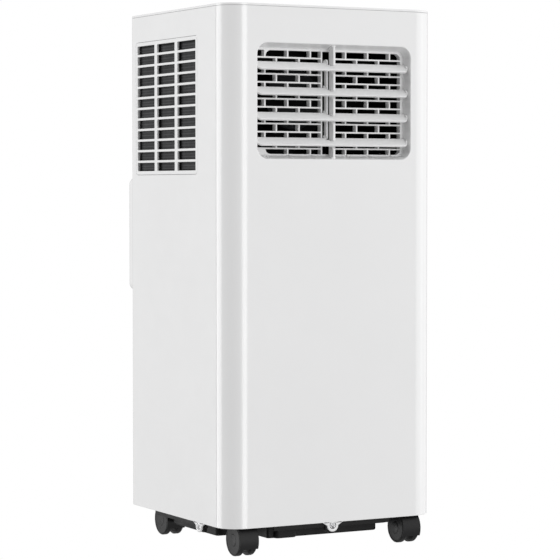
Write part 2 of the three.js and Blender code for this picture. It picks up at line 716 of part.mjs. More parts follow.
addPiece("control_panel", controlPanel(), WHITE_SATIN);
for (const [name, x] of BUTTONS) {
  const key = roundedRect(...centredRect(KEY, x, CONTROL.middleY, -GAP));
  addPiece(name, prism(key, "z", 650, BODY_TOP - 0.1, 1), BUTTON_GREY);
}
const pane = roundedRect(...centredRect(DISPLAY, 0, CONTROL.middleY, -GAP));
addPiece("display_window", prism(pane, "z", 652, BODY_TOP - 0.4, 1), GLASS);
addPiece("control_board", controlBoard(), BOARD_GREEN);

// ---------------------------------------------------------------- rear fittings

function drainPlug() {
  const centre = [DRAIN.x, DRAIN.z];
  return join([
    rod(6.1, "y", [BODY_REAR - 8, BODY_REAR + 1], centre, 12),
    rod(10, "y", [BODY_REAR + GAP, BODY_REAR + 4], centre, 20),
    box([DRAIN.x - 1.5, DRAIN.x + 1.5], [BODY_REAR + 3, BODY_REAR + 9], [DRAIN.z - 7, DRAIN.z + 7]),
  ]);
}

function cordGland() {
  const centre = [GLAND.x, GLAND.z];
  const body = join([
    rod(7.1, "y", [BODY_REAR - 6, BODY_REAR + 1], centre, 12),
    rod(11, "y", [BODY_REAR + GAP, BODY_REAR + 3.5], centre, 20),
  ]);
  return cut(body, [rod(4, "y", [BODY_REAR - 8, BODY_REAR + 5], centre, 12)]);
}

addPiece("drain_plug", drainPlug(), RUBBER);
addPiece("cord_gland", cordGland(), RUBBER);

// ---------------------------------------------------------------- inside

const UPPER = { z: 548, wheel: 70, front: 8, rear: 60, motorFront: -42 };
const LOWER = { z: 375, wheel: 56, front: 34, rear: 84, motorFront: -22 };

// A centrifugal wheel: a hub disc with its shaft, a rim ring, and blades between them, turning about Y.
function blowerWheel({ z, wheel, front, rear }) {
  const blades = 12;
  const centre = [0, z];
  const parts = [
    rod(wheel, "y", [front, front + 2], centre, 28),
    cut(rod(wheel, "y", [rear - 3, rear], centre, 28), [
      rod(wheel - 12, "y", [rear - 5, rear + 2], centre, 28),
    ]),
    rod(12, "y", [front, front + 14], centre, 12),
    rod(4, "y", [front - 26, front + 4], centre, 8),
  ];
  for (let i = 0; i < blades; i += 1) {
    const blade = new THREE.BoxGeometry(9, rear - front - 2, 1.6);
    blade.translate(wheel - 6.5, (front + rear) / 2, 0);
    blade.rotateY((i / blades) * 2 * Math.PI);
    blade.translate(0, 0, z);
    parts.push(solid(blade));
  }
  return join(parts);
}

// The fan motor: a short can in front of the wheel, bored for the wheel's shaft.
function fanMotor({ z, front, motorFront }) {
  const centre = [0, z];
  const back = front - 4;
  return cut(
    join([
      rod(38, "y", [motorFront, back - 4], centre, 20),
      rod(24, "y", [back - 5, back], centre, 16),
    ]),
    [rod(4.8, "y", [front - 27, front + 1], centre, 8)],
  );
}

// A box-shaped blower housing: walls 2 mm thick, with a bar across that carries the motor.
function upperScroll() {
  const outside = box([-112, 112], [GRILLE_FRONT + GRILLE_DEPTH + 1.4, 70], [463, 634]);
  const inside = box([-110, 110], [-130, 68], [465, 632]);
  const inlet = rod(58, "y", [60, 80], [0, UPPER.z], 32);
  const bar = box([-111, 111], [UPPER.motorFront - 3.3, UPPER.motorFront - GAP], [540, 556]);
  return join([cut(outside, [inside, inlet]), bar]);
}

function lowerScroll() {
  const centre = [0, EXHAUST.z];
  const outside = box([-100, 100], [20, 94], [306, 442]);
  const duct = rod(66, "y", [90, BODY_REAR - WALL - GAP], centre, 32);
  const inside = box([-98, 98], [22, 92], [308, 440]);
  const inlet = rod(50, "y", [10, 30], [0, LOWER.z], 32);
  const outlet = rod(EXHAUST.bore, "y", [85, 130], centre, 32);
  const barY = [LOWER.motorFront - 3.3, LOWER.motorFront - GAP];
  const bracket = [
    box([-100, 100], barY, [367, 383]),
    box([-100, -97], [barY[0], 21], [367, 383]),
    box([97, 100], [barY[0], 21], [367, 383]),
  ];
  return join([cut(join([outside, duct]), [inside, inlet, outlet]), ...bracket]);
}

// A finned coil: a block with end plates and the hairpin bends of its tubes at each end.
function coil(y0, z0, z1) {
  const core = box([-104, 104], [y0 + 1, y0 + 23], [z0, z1]);
  const plates = [-105.5, 104].map((x) => box([x, x + 1.5], [y0, y0 + 24], [z0, z1]));
  const bends = [];
  const rows = Math.floor((z1 - z0) / 50);
  for (let i = 0; i < rows; i += 1) {
    const z = z0 + 25 + i * 50;
    bends.push(box([-111, -105], [y0 + 9, y0 + 15], [z - 12, z + 12]));
    bends.push(box([105, 111], [y0 + 9, y0 + 15], [z - 12, z + 12]));
  }
  return join([core, ...plates, ...bends]);
}

function middleTray() {
  const plate = prism(shellOutline(WALL + 1), "z", 447, 450);
  const rim = cut(prism(shellOutline(WALL + 1), "z", 449, 454), [
    prism(shellOutline(WALL + 3.5), "z", 448, 455),
  ]);
  return join([plate, rim]);
}

const COMPRESSOR = { x: -18, y: -25, radius: 55, bottom: 21, top: 206 };

function compressor() {
  const { radius, bottom, top } = COMPRESSOR;
  const profile = [
    [0, top - 24],
    [41, top - 24],
    [41, bottom],
    [radius, bottom],
    [radius, top - 26],
    [radius - 5, top - 12],
    [radius - 20, top - 3],
    [0, top],
  ].map(([r, z]) => new THREE.Vector2(r, z));
  const can = new THREE.LatheGeometry(profile, 20);
  can.rotateX(Math.PI / 2);
  can.translate(COMPRESSOR.x, COMPRESSOR.y, 0);
  return solid(can);
}

function dischargePipe() {
  const { x, y, top } = COMPRESSOR;
  const route = new THREE.CatmullRomCurve3([
    new THREE.Vector3(x + 25, y, top + 1.5),
    new THREE.Vector3(x + 25, y, top + 40),
    new THREE.Vector3(x + 45, y + 20, top + 70),
    new THREE.Vector3(x + 90, y + 70, top + 74),
    new THREE.Vector3(x + 106, y + 100, top + 66),
    new THREE.Vector3(x + 106, y + 112.5, top + 66),
  ]);
  const circle = new THREE.Shape().absarc(0, 0, 4, 0, 2 * Math.PI, false);
  const pipe = new THREE.ExtrudeGeometry(circle, {
    steps: 16,
    curveSegments: 4,
    extrudePath: route,
    bevelEnabled: false,
  });
  return solid(pipe);
}

addPiece("middle_tray", middleTray(), WHITE_SATIN);
addPiece("evaporator_coil", coil(88, 456, 636), ALUMINIUM);
addPiece("condenser_coil", coil(88, 66, 296), ALUMINIUM);
addPiece("upper_blower_scroll", upperScroll(), DUCT_BLACK);
addPiece("upper_blower_wheel", blowerWheel(UPPER), BLACK);
addPiece("upper_blower_motor", fanMotor(UPPER), MOTOR_BLACK);
addPiece("lower_blower_scroll", lowerScroll(), DUCT_BLACK);
addPiece("lower_blower_wheel", blowerWheel(LOWER), BLACK);
addPiece("lower_blower_motor", fanMotor(LOWER), MOTOR_BLACK);
addPiece("compressor", compressor(), COMPRESSOR_BLACK);
addPiece("discharge_pipe", dischargePipe(), COPPER);

// ---------------------------------------------------------------- casters

const AXLE = { y: -CASTER.trail, z: CASTER.wheelRadius };
const WHEEL = { inner: 4.3, outer: 12.3 };

// An arc band round the axle, from angle a0 to a1, measured from straight ahead (-Y) over the top.
function fenderShape(r0, r1, a0, a1) {
  const shape = new THREE.Shape();
  const from = Math.PI - a1;
  const to = Math.PI - a0;
  shape.absarc(AXLE.y, AXLE.z, r1, from, to, false);
  shape.absarc(AXLE.y, AXLE.z, r0, to, from, true);
  return shape;
}

// The swivelling body in the stem's own frame: fender, central web, boss and steel stem.
function casterBody() {
  const { halfWidth, wheelRadius } = CASTER;
  const low = THREE.MathUtils.degToRad(-26);
  const high = THREE.MathUtils.degToRad(146);
  const fender = prism(
    fenderShape(wheelRadius + 0.9, wheelRadius + 2.3, low, high),
    "x",
    -halfWidth,
    halfWidth,
    5,
  );
  const web = [
    rod(12, "x", [-3.6, 3.6], [AXLE.y, AXLE.z], 12),
    prism(fenderShape(6, wheelRadius + 1.5, low, high), "x", -3.6, 3.6, 4),
    box([-3.6, 3.6], [-6, 5.5], [26, 36]),
  ];
  const boss = cut(rod(6.5, "z", [31, 40.8], [0, 0], 10), [
    rod(wheelRadius + 1.2, "x", [-20, -3.5], [AXLE.y, AXLE.z], 18),
    rod(wheelRadius + 1.2, "x", [3.5, 20], [AXLE.y, AXLE.z], 18),
  ]);
  const stem = rod(4, "z", [40, 58], [0, 0], 8);
  return cut(join([fender, ...web, boss, stem]), [
    rod(3, "x", [-10, 10], [AXLE.y, AXLE.z], 8),
  ]);
}

function casterWheel(side) {
  const { wheelRadius } = CASTER;
  const profile = [
    [0, WHEEL.outer - 1.2],
    [2.8, WHEEL.outer - 1.2],
    [2.8, WHEEL.inner],
    [wheelRadius - 0.8, WHEEL.inner],
    [wheelRadius, WHEEL.inner + 1.4],
    [wheelRadius, WHEEL.outer - 2.4],
    [wheelRadius - 2.6, WHEEL.outer],
    [0, WHEEL.outer],
  ].map(([r, x]) => new THREE.Vector2(r, x));
  const wheel = new THREE.LatheGeometry(profile, 18);
  wheel.rotateZ((-side * Math.PI) / 2);
  wheel.translate(0, AXLE.y, AXLE.z);
  return solid(wheel);
}

const CORNERS = [
  ["front_left", -1, -1],
  ["front_right", 1, -1],
  ["rear_left", -1, 1],
  ["rear_right", 1, 1],
];
for (const [corner, alongX, alongY] of CORNERS) {
  const caster = new THREE.Group();
  caster.position.set(alongX * CASTER.stemX, BODY_MIDDLE + alongY * CASTER.stemY, 0);
  root.add(caster);
  addPiece(`caster_${corner}_body`, casterBody(), CASTER_BLACK, caster);
  addPiece(
    `caster_${corner}_axle`,
    rod(2.5, "x", [-10.8, 10.8], [AXLE.y, AXLE.z], 8),
    STEEL,
    caster,
  );
  addPiece(`caster_${corner}_wheel_left`, casterWheel(-1), CASTER_BLACK, caster);
  addPiece(`caster_${corner}_wheel_right`, casterWheel(1), CASTER_BLACK, caster);
}

export default root;
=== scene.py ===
import json
from math import atan2, cos, pi, radians, sin, tan

import bmesh
import bpy
from mathutils import Matrix, Vector
from mathutils.geometry import tessellate_polygon


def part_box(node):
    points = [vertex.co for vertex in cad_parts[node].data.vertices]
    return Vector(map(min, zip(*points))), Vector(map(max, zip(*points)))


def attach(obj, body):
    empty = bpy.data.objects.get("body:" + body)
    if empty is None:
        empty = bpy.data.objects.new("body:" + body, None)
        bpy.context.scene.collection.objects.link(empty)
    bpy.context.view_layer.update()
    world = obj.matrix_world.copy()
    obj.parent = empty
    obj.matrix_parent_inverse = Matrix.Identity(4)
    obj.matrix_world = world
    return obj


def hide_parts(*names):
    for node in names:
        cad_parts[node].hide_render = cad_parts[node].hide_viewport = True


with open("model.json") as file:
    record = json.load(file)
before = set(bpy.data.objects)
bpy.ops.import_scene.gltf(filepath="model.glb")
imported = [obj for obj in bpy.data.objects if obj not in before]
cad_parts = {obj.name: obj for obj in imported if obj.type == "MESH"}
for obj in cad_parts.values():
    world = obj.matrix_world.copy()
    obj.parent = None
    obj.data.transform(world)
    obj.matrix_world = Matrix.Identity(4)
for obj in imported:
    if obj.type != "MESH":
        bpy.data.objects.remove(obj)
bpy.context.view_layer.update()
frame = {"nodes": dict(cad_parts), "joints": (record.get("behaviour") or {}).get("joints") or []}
JOINTS = {j["name"]: j for j in frame["joints"]}
MM = 0.001
WELD = 0.002 * MM
SLOTS = {}


def box_mm(node):
    lo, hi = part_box(node)
    return lo / MM, hi / MM


def centre_of(name):
    lo, hi = box_mm(name)
    return (lo + hi) / 2, lo, hi


def joint_mm(name):
    return Vector(JOINTS[name]["pos_m"]) / MM


# ---- outlines, in millimetres


def arc(cx, cy, rx, ry, a0, a1, steps):
    points = []
    for k in range(steps + 1):
        a = radians(a0 + (a1 - a0) * k / steps)
        points.append((cx + rx * cos(a), cy + ry * sin(a)))
    return points


def round_rect(x0, x1, y0, y1, r, steps=8):
    return (
        arc(x1 - r, y0 + r, r, r, -90, 0, steps)
        + arc(x1 - r, y1 - r, r, r, 0, 90, steps)
        + arc(x0 + r, y1 - r, r, r, 90, 180, steps)
        + arc(x0 + r, y0 + r, r, r, 180, 270, steps)
    )


def box_outline(lo, hi, axes, r, steps, grow=0.0):
    """The rounded outline of a box in the plane of two axes, grown all round."""
    u, v = ("xyz".index(axis) for axis in axes)
    return round_rect(lo[u] - grow, hi[u] + grow, lo[v] - grow, hi[v] + grow, r, steps)


def rect(x0, x1, y0, y1):
    return [(x0, y0), (x1, y0), (x1, y1), (x0, y1)]


def circle(cx, cy, r, steps=64):
    return arc(cx, cy, r, r, 0, 360, steps)[:-1]


def offset(base, profile):
    """A profile of (radius, t) pairs with t measured from base."""
    return [(r, base + t) for r, t in profile]


def quarter(radius, steps):
    """A quarter-round edge as pairs: how far it still stands out, and how deep it has gone."""
    pairs = []
    for k in range(steps + 1 if radius else 1):
        a = pi / 2 * k / steps
        pairs.append((radius * (1 - sin(a)), radius * (1 - cos(a))))
    return pairs


def area(loop):
    return sum(loop[i - 1][0] * p[1] - p[0] * loop[i - 1][1] for i, p in enumerate(loop))


def ccw(loop):
    return list(loop) if area(loop) > 0 else list(reversed(loop))


def cw(loop):
    return list(reversed(ccw(loop)))


def inset(loop, d):
    """Moves each corner d towards the left-hand side of the loop, which is where the material is."""
    if d == 0:
        return [tuple(p) for p in loop]
    out = []
    for i, p in enumerate(loop):
        p = Vector(p)
        before = (p - Vector(loop[i - 1])).normalized()
        after = (Vector(loop[(i + 1) % len(loop)]) - p).normalized()
        n0 = Vector((-before.y, before.x))
        n1 = Vector((-after.y, after.x))
        m = (n0 + n1).normalized() if (n0 + n1).length > 1e-6 else n0
        out.append(tuple(p + m * (d / max(m.dot(n0), 0.35))))
    return out


def along_x(u, v, t):
    return (t, u, v)


def along_y(u, v, t):
    return (u, t, v)


def along_z(u, v, t):
    return (u, v, t)


# ---- solids


class Build:
    """Vertices and faces of one piece, in millimetres in the row frame."""

    def __init__(self):
        self.verts = []
        self.faces = []

    def add(self, points):
        base = len(self.verts)
        self.verts.extend(tuple(p) for p in points)
        return list(range(base, base + len(points)))

    def band(self, a, b, closed=True, skip=()):
        count = len(a)
        for i in range(count if closed else count - 1):
            if i not in skip:
                j = (i + 1) % count
                self.faces.append((a[i], a[j], b[j], b[i]))

    def cap(self, loops):
        flat = [i for loop in loops for i in loop]
        shapes = [[Vector(self.verts[i]) for i in loop] for loop in loops]
        for tri in tessellate_polygon(shapes):
            self.faces.append(tuple(flat[k] for k in tri))

    def plate(self, outer, holes, t0, t1, r0=0.4, r1=0.4, place=along_z, steps=3, skip=()):
        """A flat plate with rounded edges at both faces; skip leaves out walls of the outer loop."""
        loops = [ccw(outer)] + [cw(h) for h in holes]
        stations = [(out, t0 + deep) for out, deep in quarter(r0, steps)]
        stations += [(out, t1 - deep) for out, deep in reversed(quarter(r1, steps))]
        first, last = [], []
        full = steps if r0 else 0
        for index, loop in enumerate(loops):
            rings = [self.add([place(u, v, t) for u, v in inset(loop, d)]) for d, t in stations]
            for k in range(len(rings) - 1):
                gaps = skip if index == 0 and k == full else ()
                self.band(rings[k], rings[k + 1], skip=gaps)
            first.append(rings[0])
            last.append(rings[-1])
        self.cap(first)
        self.cap(last)

    def rings(self, loops, start=True, end=True):
        made = [self.add(loop) for loop in loops]
        for a, b in zip(made, made[1:]):
            self.band(a, b)
        if start:
            self.cap([made[0]])
        if end:
            self.cap([made[-1]])
        return made

    def lathe(self, profile, centre, place=along_y, steps=56):
        """Turns a profile of (radius, t) points about an axis; it ends on the axis or meets itself."""
        loops = []
        for r, t in profile:
            ring = [place(u, v, t) for u, v in circle(*centre, max(r, 1e-4), steps)]
            loops.append(ring)
        self.rings(loops, start=False, end=False)

    def spread(self, count, centre, outer, t0, t1, r0, r1, first=0):
        """Repeats a plate drawn about the origin, turned evenly round an axis along Y."""
        for k in range(count):
            start = len(self.verts)
            self.plate(outer, [], t0, t1, r0, r1, along_y)
            turn = Matrix.Rotation(radians(first + 360 * k / count), 4, "Y")
            self.move(Matrix.Translation((centre[0], 0, centre[1])) @ turn, start)

    def move(self, matrix, start=0):
        self.verts[start:] = [tuple(matrix @ Vector(v)) for v in self.verts[start:]]

    def piece(self, name, material, nodes=(), body="cabinet", slot=None, angle=40):
        """Makes the object and hides the nodes it replaces; the slot argument is not used."""
        mesh = bpy.data.meshes.new(name)
        mesh.from_pydata([Vector(v) * MM for v in self.verts], [], self.faces)
        obj = bpy.data.objects.new(name, mesh)
        bpy.context.scene.collection.objects.link(obj)
        bm = bmesh.new()
        bm.from_mesh(mesh)
        bmesh.ops.remove_doubles(bm, verts=bm.verts, dist=WELD)
        bmesh.ops.dissolve_degenerate(bm, edges=bm.edges, dist=WELD / 2)
        bmesh.ops.recalc_face_normals(bm, faces=bm.faces)
        bm.to_mesh(mesh)
        bm.free()
        for polygon in mesh.polygons:
            polygon.use_smooth = True
        mesh.set_sharp_from_angle(angle=radians(angle))
        weighted = obj.modifiers.new("weighted", "WEIGHTED_NORMAL")
        weighted.keep_sharp = True
        weighted.weight = 60
        mesh.materials.append(material)
        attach(obj, body)
        if nodes:
            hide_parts(*nodes)
        slot = slot or SLOTS[material.name]


# ---- materials


def material(name, color, roughness, metallic=0.0, specular=0.5, coat=0.0):
    mat = bpy.data.materials.new(name)
    SLOTS[mat.name] = name
    mat.use_nodes = True
    shader = mat.node_tree.nodes["Principled BSDF"]
    sockets = shader.inputs
    sockets["Base Color"].default_value = (*color, 1)
    sockets["Roughness"].default_value = roughness
    sockets["Metallic"].default_value = metallic
    sockets["Specular IOR Level"].default_value = specular
    sockets["Coat Weight"].default_value = coat
    return mat, sockets


def node(mat, kind, **values):
    made = mat.node_tree.nodes.new(kind)
    for key, value in values.items():
        if key in made.inputs:
            made.inputs[key].default_value = value
        else:
            setattr(made, key, value)
    return made


def link(mat, a, b):
    mat.node_tree.links.new(a, b)


def coordinates(mat, stretch=(1, 1, 1)):
    coords = node(mat, "ShaderNodeTexCoord")
    mapping = node(mat, "ShaderNodeMapping")
    mapping.inputs["Scale"].default_value = stretch
    link(mat, coords.outputs["Object"], mapping.inputs["Vector"])
    return mapping.outputs["Vector"]


def noise(mat, vector, scale, detail=3.0):
    made = node(mat, "ShaderNodeTexNoise", Scale=scale, Detail=detail, Roughness=0.55)
    link(mat, vector, made.inputs["Vector"])
    return made.outputs["Fac"]


def ramp(mat, fac, low, high, at=(0.3, 0.7)):
    made = node(mat, "ShaderNodeValToRGB")
    made.color_ramp.elements[0].position = at[0]
    made.color_ramp.elements[1].position = at[1]
    made.color_ramp.elements[0].color = (*low, 1)
    made.color_ramp.elements[1].color = (*high, 1)
    link(mat, fac, made.inputs["Fac"])
    return made.outputs["Color"]


def to_range(mat, fac, low, high, at=(0.3, 0.7)):
    made = node(mat, "ShaderNodeMapRange")
    for key, value in zip(("From Min", "From Max", "To Min", "To Max"), (*at, low, high)):
        made.inputs[key].default_value = value
    link(mat, fac, made.inputs["Value"])
    return made.outputs["Result"]


def bump(mat, height, strength, distance):
    made = node(mat, "ShaderNodeBump", Strength=strength, Distance=distance)
    link(mat, height, made.inputs["Height"])
    return made.outputs["Normal"]


def moulded(name, color, roughness, spread=0.02, grain=1400, depth=0.00002, **kind):
    """Moulded plastic or paint: a slow tonal drift, a slight change of gloss and a fine grain."""
    mat, sockets = material(name, color, roughness, **kind)
    vector = coordinates(mat)
    low = [max(0.0, c * (1 - spread)) for c in color]
    high = [min(1.0, c * (1 + spread)) for c in color]
    link(mat, ramp(mat, noise(mat, vector, 7.0), low, high), sockets["Base Color"])
    gloss = to_range(mat, noise(mat, vector, 60.0), roughness * 0.9, roughness * 1.12)
    link(mat, gloss, sockets["Roughness"])
    fine = bump(mat, noise(mat, vector, grain, 2.0), 0.25, depth)
    link(mat, fine, sockets["Normal"])
    return mat


def metal(name, color, roughness, stretch=(1, 1, 1), grain=600, strength=0.3):
    """Bare metal with drawn or turned streaks along one direction."""
    mat, sockets = material(name, color, roughness, metallic=1.0)
    vector = coordinates(mat, stretch)
    streak = noise(mat, vector, grain, 4.0)
    low = [c * 0.86 for c in color]
    link(mat, ramp(mat, streak, low, color), sockets["Base Color"])
    link(mat, to_range(mat, streak, roughness * 0.8, roughness * 1.3), sockets["Roughness"])
    link(mat, bump(mat, streak, strength, 0.00002), sockets["Normal"])
    return mat


WHITE = moulded("shell_white", (0.83, 0.83, 0.832), 0.2, spread=0.008, specular=0.9)
TRIM = moulded("trim_white", (0.82, 0.82, 0.822), 0.38, spread=0.01, grain=1800)
BASE_BLACK = moulded(
    "base_black", (0.004, 0.004, 0.0043), 0.5, spread=0.3, grain=900, depth=0.00005, specular=0.25
)
CASTER_BLACK = moulded(
    "caster_black", (0.009, 0.009, 0.0095), 0.42, spread=0.2, grain=900, depth=0.00004, specular=0.28
)
BUTTON = moulded("button_grey", (0.64, 0.65, 0.66), 0.42, spread=0.02)
ICON = moulded("icon_grey", (0.16, 0.17, 0.18), 0.5, spread=0.05)
RUBBER = moulded("seal_rubber", (0.017, 0.017, 0.017), 0.75, spread=0.25, grain=500, depth=0.00006)
DUCT = moulded(
    "duct_black", (0.004, 0.004, 0.0044), 0.9, spread=0.3, grain=260, depth=0.0002, specular=0.15
)
BLOWER = moulded("blower_black", (0.008, 0.008, 0.0085), 0.7, spread=0.2, specular=0.15)
BOARD = moulded("board_green", (0.012, 0.085, 0.03), 0.4, spread=0.15, grain=700)
MOTOR = moulded("motor_steel", (0.02, 0.021, 0.023), 0.7, spread=0.15, specular=0.15)
CAN = moulded("compressor_black", (0.014, 0.015, 0.016), 0.35, spread=0.25, grain=300, depth=0.00008)
STEEL = metal("screw_steel", (0.78, 0.78, 0.79), 0.38)
COPPER = metal("pipe_copper", (0.62, 0.26, 0.15), 0.3)
FINS = metal(
    "coil_aluminium", (0.62, 0.63, 0.64), 0.42, stretch=(1, 0.02, 0.02), grain=900, strength=0.8
)


def filter_material():
    """A dark filter: fine square weave of threads over a darker gap."""
    mat, sockets = material("filter_mesh", (0.05, 0.051, 0.053), 0.8, specular=0.25)
    vector = coordinates(mat)
    waves = []
    for direction in ("Y", "Z"):
        wave = node(mat, "ShaderNodeTexWave", Scale=90.0, Distortion=0.15)
        wave.bands_direction = direction
        link(mat, vector, wave.inputs["Vector"])
        waves.append(wave.outputs["Fac"])
    both = node(mat, "ShaderNodeMath", operation="MAXIMUM")
    link(mat, waves[0], both.inputs[0])
    link(mat, waves[1], both.inputs[1])
    weave = both.outputs["Value"]
    soft = node(mat, "ShaderNodeMath", operation="MULTIPLY")
    link(mat, weave, soft.inputs[0])
    link(mat, to_range(mat, noise(mat, vector, 30.0), 0.7, 1.0), soft.inputs[1])
    tone = ramp(mat, soft.outputs["Value"], (0.018, 0.018, 0.019), (0.072, 0.073, 0.076), (0.45, 0.95))
    link(mat, tone, sockets["Base Color"])
    link(mat, bump(mat, weave, 0.6, 0.0003), sockets["Normal"])
    return mat


FILTER = filter_material()


def glass_material():
    mat, sockets = material("display_glass", (0.008, 0.009, 0.011), 0.06, coat=0.5)
    vector = coordinates(mat)
    link(mat, to_range(mat, noise(mat, vector, 200.0), 0.04, 0.1), sockets["Roughness"])
    return mat


GLASS = glass_material()

# ---- casing

WALL = 2.5
CORNER_X, CORNER_Y, REAR_CORNER = 30.0, 25.7, 9.0
EDGE = 0.3  # round of the walls at their seams
BOTTOM_ROUND, TOP_ROUND = 0.6, 0.2
SEAM_INSET = 0.15  # each wall stops this far short of the seam
lo, hi = box_mm("rear_panel")
SHELL_BOTTOM, SHELL_TOP, REAR = lo.z, hi.z, hi.y
FACE_BOTTOM, FACE_TOP = SHELL_BOTTOM + BOTTOM_ROUND, SHELL_TOP - TOP_ROUND
lo, hi = box_mm("front_panel")
SIDE, FRONT, SEAM, TAB_BOTTOM = hi.x, lo.y, hi.y - SEAM_INSET, lo.z
TAB_SCREW_Z = centre_of("front_tab_screw")[0].z
TAB_SINK = 0.05
FLAT_X, FLAT_Y = SIDE - CORNER_X, FRONT + CORNER_Y
GRILLE_FRONT = box_mm("vent_grille")[0].y
THROAT_END = GRILLE_FRONT - 0.3
VENT_X, VENT_HALF_WIDTH = joint_mm("louver_1_tilt").x, 105.8
VENT_BOTTOM, VENT_TOP, VENT_CORNER = 473.0, 610.0, 14.0


def front_corner(inset_by):
    """The left front corner in plan, from the front face round to the side face."""
    return arc(-FLAT_X, FLAT_Y, CORNER_X - inset_by, CORNER_Y - inset_by, 270, 180, 40)


def mirrored(points):
    return [(-x, y) for x, y in reversed(points)]


def tab(build, middle, face, inward, place):
    """A screw tab: a trapezium that narrows to a round end, with a countersunk hole."""
    radius, half = 7.5, 14.0
    low = TAB_BOTTOM + radius
    end = arc(middle, low, radius, radius, 180, 360, 20)
    outer = [(middle - half, SHELL_BOTTOM + EDGE), (middle - half, SHELL_BOTTOM)]
    outer += end + [(middle + half, SHELL_BOTTOM), (middle + half, SHELL_BOTTOM + EDGE)]
    hole = circle(middle, TAB_SCREW_Z, 4.3, 32)
    t0, t1 = sorted((face, face + inward * WALL))
    r0, r1 = (0.9, 0.3) if inward > 0 else (0.3, 0.9)
    build.plate(outer, [hole], t0, t1, r0, r1, place, steps=4)


def wall_with_hole(build, u0, u1, ring, place, t):
    """A wall's flat face from u0 to u1 with a hole whose ring is already in the build."""
    outer = build.add([place(u, v, t) for u, v in rect(u0, u1, FACE_BOTTOM, FACE_TOP)])
    build.cap([outer, ring])


def long_walls(loop, axis, length):
    """The indices of a loop's straight walls that run further than length along an axis."""
    ends = zip(loop, loop[1:] + loop[:1])
    return [i for i, (p, q) in enumerate(ends) if abs(p[axis] - q[axis]) > length]


def vent_ring(y, grow, corner, bottom_in=0.0, top_in=0.0):
    """The vent's outline at depth y, grown all round, then drawn in at the bottom and top."""
    half = VENT_HALF_WIDTH + grow
    z0, z1 = VENT_BOTTOM - grow + bottom_in, VENT_TOP + grow - top_in
    return [(u, y, v) for u, v in round_rect(VENT_X - half, VENT_X + half, z0, z1, corner, 14)]


def tidy(loop):
    """Drops points that repeat the one before, and turns the loop counter-clockwise."""
    kept = []
    for p in loop:
        if not kept or (Vector(p) - Vector(kept[-1])).length > 0.01:
            kept.append(p)
    return ccw(kept)


def front_skin():
    build = Build()
    outer = [p for p in reversed(front_corner(0)) if p[1] < SEAM - EDGE - 0.05]
    inner = [p for p in reversed(front_corner(WALL)) if p[1] < SEAM - 0.1]
    right_end = arc(SIDE - EDGE, SEAM - EDGE, EDGE, EDGE, 0, 90, 4)
    inner_path = inner + mirrored(inner)
    loop = outer + mirrored(outer) + right_end + [(SIDE - WALL, SEAM)]
    loop += list(reversed(inner_path)) + [(-SIDE + WALL, SEAM)] + mirrored(right_end)
    loop = tidy(loop)
    flats = long_walls(loop, 0, FLAT_X)
    build.plate(
        loop, [], SHELL_BOTTOM, SHELL_TOP, BOTTOM_ROUND, TOP_ROUND, along_z, 4, skip=flats
    )

    lip, taper, floor_rise, roof_drop, steps = 1.2, 0.28, 4.2, 4.5, 4
    mouth = [vent_ring(FRONT + deep, out, VENT_CORNER + out) for out, deep in quarter(lip, 8)]
    for k in range(1, steps + 1):
        s = k / steps
        y = FRONT + lip + (THROAT_END - FRONT - lip) * s
        mouth.append(vent_ring(y, -taper * s, VENT_CORNER - 5 * s, floor_rise * s, roof_drop * s))
    collar = [vent_ring(y, 2.9, 17, 1.3, 1.3) for y in (THROAT_END, FRONT + WALL)]
    made = build.rings(mouth + collar, start=False, end=False)
    for y, ring in ((FRONT, made[0]), (FRONT + WALL, made[-1])):
        wall_with_hole(build, -FLAT_X, FLAT_X, ring, along_y, y)
    tab(build, 0.0, FRONT + TAB_SINK, 1, along_y)
    build.piece("front_skin", WHITE, ["front_panel"])


def side_skin(side):
    """side is -1 for the left panel and +1 for the right one."""
    hand = "left" if side < 0 else "right"
    panel = hand + "_side_panel"
    y0 = box_mm(panel)[0].y + SEAM_INSET
    x, corner_y = -SIDE, REAR - REAR_CORNER
    inner_end, inner_r = x + REAR_CORNER + 2, REAR_CORNER - WALL
    loop = arc(x + EDGE, y0 + EDGE, EDGE, EDGE, 180, 270, 3)
    loop += [(x + WALL, y0), (x + WALL, corner_y)]
    loop += list(reversed(arc(x + REAR_CORNER, corner_y, inner_r, inner_r, 90, 180, 12)))
    loop += [(inner_end, REAR - WALL)]
    loop += arc(inner_end - EDGE, REAR - EDGE, EDGE, EDGE, 0, 90, 3)
    loop += arc(x + REAR_CORNER, corner_y, REAR_CORNER, REAR_CORNER, 90, 180, 24)
    if side > 0:
        loop = mirrored(loop)
    loop = tidy(loop)
    flats = long_walls(loop, 1, SIDE)
    build = Build()
    build.plate(
        loop, [], SHELL_BOTTOM, SHELL_TOP, BOTTOM_ROUND, TOP_ROUND, along_z, 4, skip=flats
    )
    outside, inside = side * SIDE, side * (SIDE - WALL)
    lo, hi = box_mm(hand + "_intake_grille")
    gap, edge, corner = 0.35, 0.2, 5.0
    rings = []
    for out, deep in quarter(edge, 4):
        shape = box_outline(lo, hi, "yz", corner + out, 8, gap + out)
        rings.append([(outside - side * deep, u, v) for u, v in shape])
    rings.append([(inside, *p[1:]) for p in rings[-1]])
    made = build.rings(rings, start=False, end=False)
    ends = {}
    for i in flats:
        a, b = loop[i], loop[(i + 1) % len(loop)]
        ends[round(a[0], 3)] = sorted((a[1], b[1]))
    for face, ring in ((outside, made[0]), (inside, made[-1])):
        wall_with_hole(build, *ends[round(face, 3)], ring, along_x, face)
    middle = centre_of(hand + "_tab_screw")[0].y
    tab(build, middle, side * (SIDE - TAB_SINK), -side, along_x)
    build.piece(hand + "_side_skin", WHITE, [panel])


